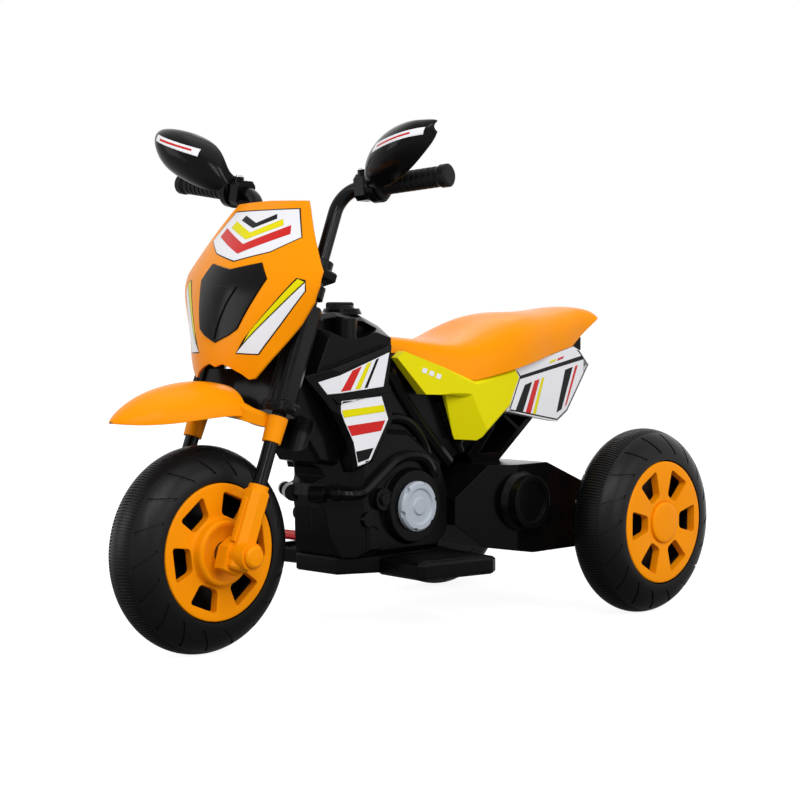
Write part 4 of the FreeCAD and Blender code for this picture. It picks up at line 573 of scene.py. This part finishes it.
def cut_windows(piece, low, high, low_wide, high_wide, start):
    """Six rounded windows from radius low to high, of the two widths in millimetres, the first turned by start."""
    corners = {(-1, -1): (-low_wide / 2, low), (1, -1): (low_wide / 2, low), (-1, 1): (-high_wide / 2, high),
               (1, 1): (high_wide / 2, high)}
    across = Vector((math.cos(start), 0.0, math.sin(start))) * MM
    outward = Vector((-math.sin(start), 0.0, math.cos(start))) * MM
    bpy.ops.object.select_all(action="DESELECT")
    bpy.ops.mesh.primitive_plane_add(size=2.0)
    cutter = bpy.context.active_object
    bpy.ops.object.mode_set(mode="EDIT")
    for (i, j), (wide, far) in corners.items():
        pick(cutter, "VERT", lambda co, no: (co - Vector((i, j, 0.0))).length < 1e-5)
        bpy.ops.transform.translate(value=across * wide + outward * far + Vector((-i, WINDOW_FROM - j, 0.0)))
    bpy.ops.mesh.select_all(action="SELECT")
    bpy.ops.mesh.bevel(affect="VERTICES", offset=WINDOW_ROUND, segments=5)
    bpy.ops.mesh.select_all(action="SELECT")
    bpy.ops.mesh.extrude_region_move(TRANSFORM_OT_translate={"value": (0.0, WINDOW_THROUGH, 0.0)})
    bpy.ops.mesh.select_all(action="SELECT")
    bpy.ops.mesh.spin(steps=WINDOWS - 1, angle=math.radians(360.0 - 360.0 / WINDOWS), center=(0.0, 0.0, 0.0),
                      axis=(0.0, 1.0, 0.0), dupli=True)
    bpy.ops.mesh.select_all(action="SELECT")
    bpy.ops.mesh.normals_make_consistent(inside=False)
    bpy.ops.object.mode_set(mode="OBJECT")
    bpy.context.view_layer.objects.active = piece
    windows = piece.modifiers.new("windows", "BOOLEAN")
    windows.operation = "DIFFERENCE"
    windows.object = cutter
    bpy.ops.object.modifier_apply(modifier=windows.name)
    bpy.data.objects.remove(cutter)


print("turned pieces in", TURN_STEPS, "steps")

# %% [markdown]
# The front cover has a wide cup round the axle, the rear ones a flat middle that takes a hub cap. Both sides of a wheel
# have the same cover.

# %% Rim covers
FLAT_EDGE = [(75.5, 24.3), (75.5, 33.4), (75.1, 34.3), (74.2, 34.8), (72.5, 34.9)]
FRONT_SECTION = FLAT_EDGE + [(42.0, 33.8), (39.4, 34.0), (37.8, 34.8), (36.8, 36.6), (36.2, 41.6), (35.4, 43.6),
                             (33.9, 44.8), (32.0, 45.0), (30.4, 44.6), (27.0, 42.6), (22.5, 40.9), (18.0, 40.2),
                             (12.4, 40.0), (12.4, 24.3)]
REAR_SECTION = FLAT_EDGE + [(28.0, 34.6), (26.4, 34.3), (25.8, 33.45), (14.1, 33.45), (14.1, 24.3)]
CAP_SECTION = [(0.0, 33.55), (25.3, 33.55), (25.3, 36.2), (24.8, 37.2), (23.6, 37.8), (20.0, 38.0), (10.0, 38.3),
               (0.0, 38.4)]
FRONT_WINDOWS = (39.5, 63.8, 26.0, 39.5, math.radians(22.0))
REAR_WINDOWS = (32.0, 64.0, 19.0, 36.0, math.radians(30.0))
COVER_SMOOTH = math.radians(32.0)


def finish_wheel_piece(piece, axle, body, replaced):
    bpy.ops.object.select_all(action="DESELECT")
    piece.select_set(True)
    bpy.context.view_layer.objects.active = piece
    bpy.ops.object.shade_smooth_by_angle(angle=COVER_SMOOTH)
    piece.data.transform(Matrix.Translation(axle))
    dress(piece, "orange_plastic")
    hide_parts(replaced)
    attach(piece, body)


for name, (axle, body) in AXLES.items():
    if name == "front":
        cover = turned(name + "_rim_covers", FRONT_SECTION)
        cut_windows(cover, *FRONT_WINDOWS)
    else:
        cover = turned(name + "_rim_covers", REAR_SECTION)
        cut_windows(cover, *REAR_WINDOWS)
        cap = turned(name + "_smooth_cap", CAP_SECTION)
        if name == "rear_right":
            cap.data.transform(Matrix.Scale(-1.0, 4, (0.0, 1.0, 0.0)))
            cap.data.flip_normals()
        finish_wheel_piece(cap, axle, body, name + "_hub_cap")
    bpy.context.view_layer.objects.active = cover
    both_sides = cover.modifiers.new("both_sides", "MIRROR")
    both_sides.use_axis = (False, True, False)
    bpy.ops.object.modifier_apply(modifier=both_sides.name)
    finish_wheel_piece(cover, axle, body, name + "_rims")
    print(cover.name, len(cover.data.polygons), "faces")

# %% [markdown]
# The coloured flashes are vinyl stickers. Each is drawn flat in front of the piece that carries it, as straight-edged
# shapes: a grid is trimmed edge by edge, pressed back onto the moulded surface along the line of sight, and given the
# thickness of vinyl. Stickers that lie on others take a higher level. The patterns are plain bars and chevrons.

# %% Sticker maker
CELL = 0.0030
VINYL = 0.00030
FIRST_LEVEL = 0.00022
LEVEL_STEP = 0.00014
NOT_PRESSED = 0.002
START = {"front": Vector((0.36, 0.0, 0.0)), "left": Vector((0.0, 0.30, 0.0)), "right": Vector((0.0, -0.30, 0.0))}


def spot(view, point):
    """Point of a flat drawing, in millimetres: across and up from the front, along and up from a side."""
    if view == "front":
        return START[view] + Vector((0.0, point[0], point[1])) * MM
    return START[view] + Vector((point[0], 0.0, point[1])) * MM


def flat_sheet(view, outline):
    facing = START[view].normalized()
    up = Vector((0.0, 0.0, 1.0))
    across = up.cross(facing)
    corners = [spot(view, point) for point in outline]
    wide = [corner.dot(across) for corner in corners]
    high = [corner.dot(up) for corner in corners]
    size = (max(wide) - min(wide), max(high) - min(high))
    middle = across * (max(wide) + min(wide)) / 2 + up * (max(high) + min(high)) / 2 + START[view]
    bpy.ops.object.select_all(action="DESELECT")
    columns, rows = (max(2, int(length / CELL)) for length in size)
    bpy.ops.mesh.primitive_grid_add(x_subdivisions=columns, y_subdivisions=rows, size=1.0, location=middle,
                                    rotation=Matrix((across, up, facing)).transposed().to_euler())
    sheet = bpy.context.active_object
    sheet.scale = (size[0], size[1], 1.0)
    bpy.ops.object.transform_apply(location=True, rotation=True, scale=True)
    bpy.ops.object.mode_set(mode="EDIT")
    for i, corner in enumerate(corners):
        outward = (corners[(i + 1) % len(corners)] - corner).cross(facing)
        if (middle_of(corners) - corner).dot(outward) > 0.0:
            outward = -outward
        bpy.ops.mesh.select_all(action="SELECT")
        bpy.ops.mesh.bisect(plane_co=corner, plane_no=outward.normalized(), threshold=1e-6, clear_outer=True)
    bpy.ops.object.mode_set(mode="OBJECT")
    return sheet


def middle_of(corners):
    return sum(corners, Vector()) / len(corners)


def press(piece, node, view, level):
    """Presses a flat sheet onto the node that carries it, trims what hangs over and gives it a thickness."""
    onto = piece.modifiers.new("onto", "SHRINKWRAP")
    onto.target = nodes[node]
    onto.wrap_method = "PROJECT"
    onto.wrap_mode = "ABOVE_SURFACE"
    onto.use_project_x = view == "front"
    onto.use_project_y = view != "front"
    onto.use_negative_direction = view != "right"
    onto.use_positive_direction = view == "right"
    onto.offset = FIRST_LEVEL + LEVEL_STEP * level
    bpy.ops.object.modifier_apply(modifier=onto.name)
    bpy.ops.object.mode_set(mode="EDIT")
    bpy.ops.mesh.select_mode(type="VERT")
    pick(piece, "VERT", lambda co, no: (co - START[view]).dot(START[view].normalized()) > -NOT_PRESSED)
    bpy.ops.mesh.delete(type="VERT")
    bpy.ops.object.mode_set(mode="OBJECT")
    thick = piece.modifiers.new("thick", "SOLIDIFY")
    thick.thickness = VINYL
    thick.offset = -1.0
    bpy.ops.object.modifier_apply(modifier=thick.name)


def sticker(name, node, body, view, finish, level, outlines):
    """One sticker of one colour, made of one or more straight-edged shapes."""
    sheets = [flat_sheet(view, outline) for outline in outlines]
    for sheet in sheets:
        sheet.select_set(True)
    if len(sheets) > 1:
        bpy.ops.object.join()
    piece = bpy.context.active_object
    piece.name = name
    piece.data.name = name
    press(piece, node, view, level)
    dress(piece, finish)
    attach(piece, body)
    return piece


def both_ways(outlines):
    """The shapes and their mirror images over the middle of the mask."""
    return outlines + [[(-across, up) for across, up in reversed(outline)] for outline in outlines]


def border(outline, near, far):
    """A thin line along an open outline, as one four-sided shape for each straight run."""
    runs = []
    for here, there in zip(outline, outline[1:]):
        along = (Vector(there) - Vector(here)).normalized()
        inward = Vector((-along.y, along.x))
        runs.append((Vector(here), along, inward))

    def corner(i, inset):
        """Point of the outline moved in by the inset from both runs that meet there."""
        first, second = runs[max(i - 1, 0)], runs[min(i, len(runs) - 1)]
        moved = Vector(outline[i]) + first[2] * inset
        bend = first[1].x * second[1].y - first[1].y * second[1].x
        if abs(bend) < 1e-6:
            return tuple(moved)
        other = Vector(outline[i]) + second[2] * inset - moved
        return tuple(moved + first[1] * ((other.x * second[1].y - other.y * second[1].x) / bend))

    return [[corner(i, near), corner(i + 1, near), corner(i + 1, far), corner(i, far)] for i in range(len(runs))]


print("vinyl", VINYL, "m")

# %% [markdown]
# The mask carries a white shield on its brow with three chevrons, and a white and a lime bar on each flank. A black
# sheet a little larger lies under the white ones and shows as their thin outline.

# %% Mask stickers
SHIELD = [(-54, 490.5), (-75.5, 457), (-46, 441), (0, 431), (46, 441), (75.5, 457), (54, 490.5)]
SHIELD_EDGE = 1.3
shield_white = [(across * (1 - SHIELD_EDGE / 75), up + (460 - up) * SHIELD_EDGE / 30) for across, up in SHIELD]
on_mask = ("front_mask", "steering", "front")
sticker("brow_outline", *on_mask, "black_gloss", 0, [SHIELD])
sticker("brow_white", *on_mask, "white_panel", 1, [shield_white])
sticker("brow_red", *on_mask, "red_plastic", 2, both_ways([[(0, 440), (59, 461), (54, 471), (0, 451)]]))
sticker("brow_lime", *on_mask, "lime_plastic", 2, both_ways([[(0, 456), (44, 471), (39, 478.5), (0, 464)]]))
sticker("brow_black", *on_mask, "black_gloss", 2, both_ways([[(0, 469), (30, 479), (26, 484.5), (0, 475)]]))
sticker("flank_outline", *on_mask, "black_gloss", 0,
        both_ways([[(30.8, 329.8), (56.8, 328.8), (101.3, 398), (99, 410), (88.5, 412.5), (40, 346)]]))
sticker("flank_white", *on_mask, "white_panel", 1, both_ways([[(32, 331), (56, 330), (100, 398), (99, 407)]]))
sticker("flank_lime", *on_mask, "lime_plastic", 1, both_ways([[(40, 341.8), (98, 408), (90, 411.3), (47, 355)]]))

# %% [markdown]
# Each shroud wing has a white field above and below its black band. Slanted bars cross the upper one, level bars the
# lower one. The tail plates are white mouldings, crossed by slanted bars, with a black line under the saddle's edge.

# %% Side sticker shapes
PLATE = [(-302, 335), (-318, 325), (-340, 306), (-288, 246), (-264, 234), (-152, 252), (-158, 262), (-176, 294),
         (-170, 300)]
PLATE_LINE = (2.2, 4.0)
PLATE_BLACK = [[(-178, 295.5), (-179.5, 291.5), (-331, 314), (-327, 319)],
               [(-190, 284), (-206, 287.5), (-186, 250.5), (-170, 253)],
               [(-282, 300.5), (-300, 304), (-274, 250), (-262, 246)]]
PLATE_RED = [[(-212, 288.5), (-223, 290.5), (-203, 247.5), (-192, 249.5)],
             [(-306, 305), (-312, 306), (-286, 256), (-281, 252.5)],
             [(-262, 312.5), (-276, 315), (-280, 318.5), (-266, 316)]]
PLATE_LIME = [[(-228, 291.5), (-234, 292.5), (-214, 245.5), (-208, 246.5)],
              [(-244, 309.5), (-258, 312), (-262, 315.5), (-248, 313)]]
UPPER_FIELDS = [[(126, 303.9), (47, 328.8), (57, 289), (126, 283.6)],
                [(126, 283.6), (140, 282.5), (150, 296.3), (126, 303.9)]]
LOWER_FIELDS = [[(125.5, 274.6), (60, 278), (49, 251), (105, 226.5), (119, 250), (125, 262)],
                [(105, 226.5), (49, 251), (79.5, 203), (98.5, 199)]]
WING_RED = [[(125.5, 285.2), (110, 286.5), (92, 313.5), (107, 308.8)],
            [(115.5, 246), (54, 250), (61, 238), (108.3, 234)]]
WING_LIME = [[(103, 287), (94.5, 287.7), (76, 318.6), (84, 316.1)],
             [(124.2, 264), (57, 268), (54, 260), (120.6, 255.5)]]
WING_BLACK = [[(88, 288.2), (83, 288.6), (64, 322.4), (69, 320.8)],
              [(101.5, 216), (73, 219), (81, 206.5), (98.3, 203)]]
DASH_DROP = 3.6
DASHES = [[(x, 304.5 - i * DASH_DROP), (x - 7, 302.5 - i * DASH_DROP), (x - 9.5, 308 - i * DASH_DROP),
           (x - 2.5, 310 - i * DASH_DROP)] for i, x in enumerate((-1, -12, -23))]

print("wing fields", len(UPPER_FIELDS) + len(LOWER_FIELDS), "dashes", len(DASHES))

# %% [markdown]
# Both sides carry the same stickers. A dark line runs round each tail plate, and three white dashes sit on the lime
# panel.

# %% Side stickers
for side in ("left", "right"):
    on_wing = ("body_shell_" + side, "chassis", side)
    sticker("wing_white_" + side, *on_wing, "white_panel", 0, UPPER_FIELDS + LOWER_FIELDS)
    sticker("wing_red_" + side, *on_wing, "red_plastic", 1, WING_RED)
    sticker("wing_lime_" + side, *on_wing, "lime_plastic", 1, WING_LIME)
    sticker("wing_black_" + side, *on_wing, "black_gloss", 1, WING_BLACK)
    on_plate = ("tail_plate_" + side, "chassis", side)
    sticker("plate_black_" + side, *on_plate, "black_gloss", 0, border(PLATE, *PLATE_LINE) + PLATE_BLACK)
    sticker("plate_red_" + side, *on_plate, "red_plastic", 0, PLATE_RED)
    sticker("plate_lime_" + side, *on_plate, "lime_plastic", 0, PLATE_LIME)
    sticker("panel_dashes_" + side, "side_panel_" + side, "chassis", side, "white_panel", 0, DASHES)

# %% [markdown]
# A white band with a fine red line crosses the front of each hand guard. The right bar is turned further forward than
# the left one, so its band sits higher.

# %% Guard stripes
sticker("guard_white_left", "hand_guard_left", "steering", "front", "white_panel", 0,
        [[(147, 546.5), (217, 562.5), (218.5, 570.5), (152, 556.5)]])
sticker("guard_red_left", "hand_guard_left", "steering", "front", "red_plastic", 1,
        [[(158, 552), (206, 563.2), (206.5, 565.4), (158.5, 554.2)]])
sticker("guard_white_right", "hand_guard_right", "steering", "front", "white_panel", 0,
        [[(-203, 581), (-204, 589), (-140, 568), (-139, 559)]])
sticker("guard_red_right", "hand_guard_right", "steering", "front", "red_plastic", 1,
        [[(-194, 580.5), (-194.5, 583), (-148, 568.2), (-147.5, 565.8)]])
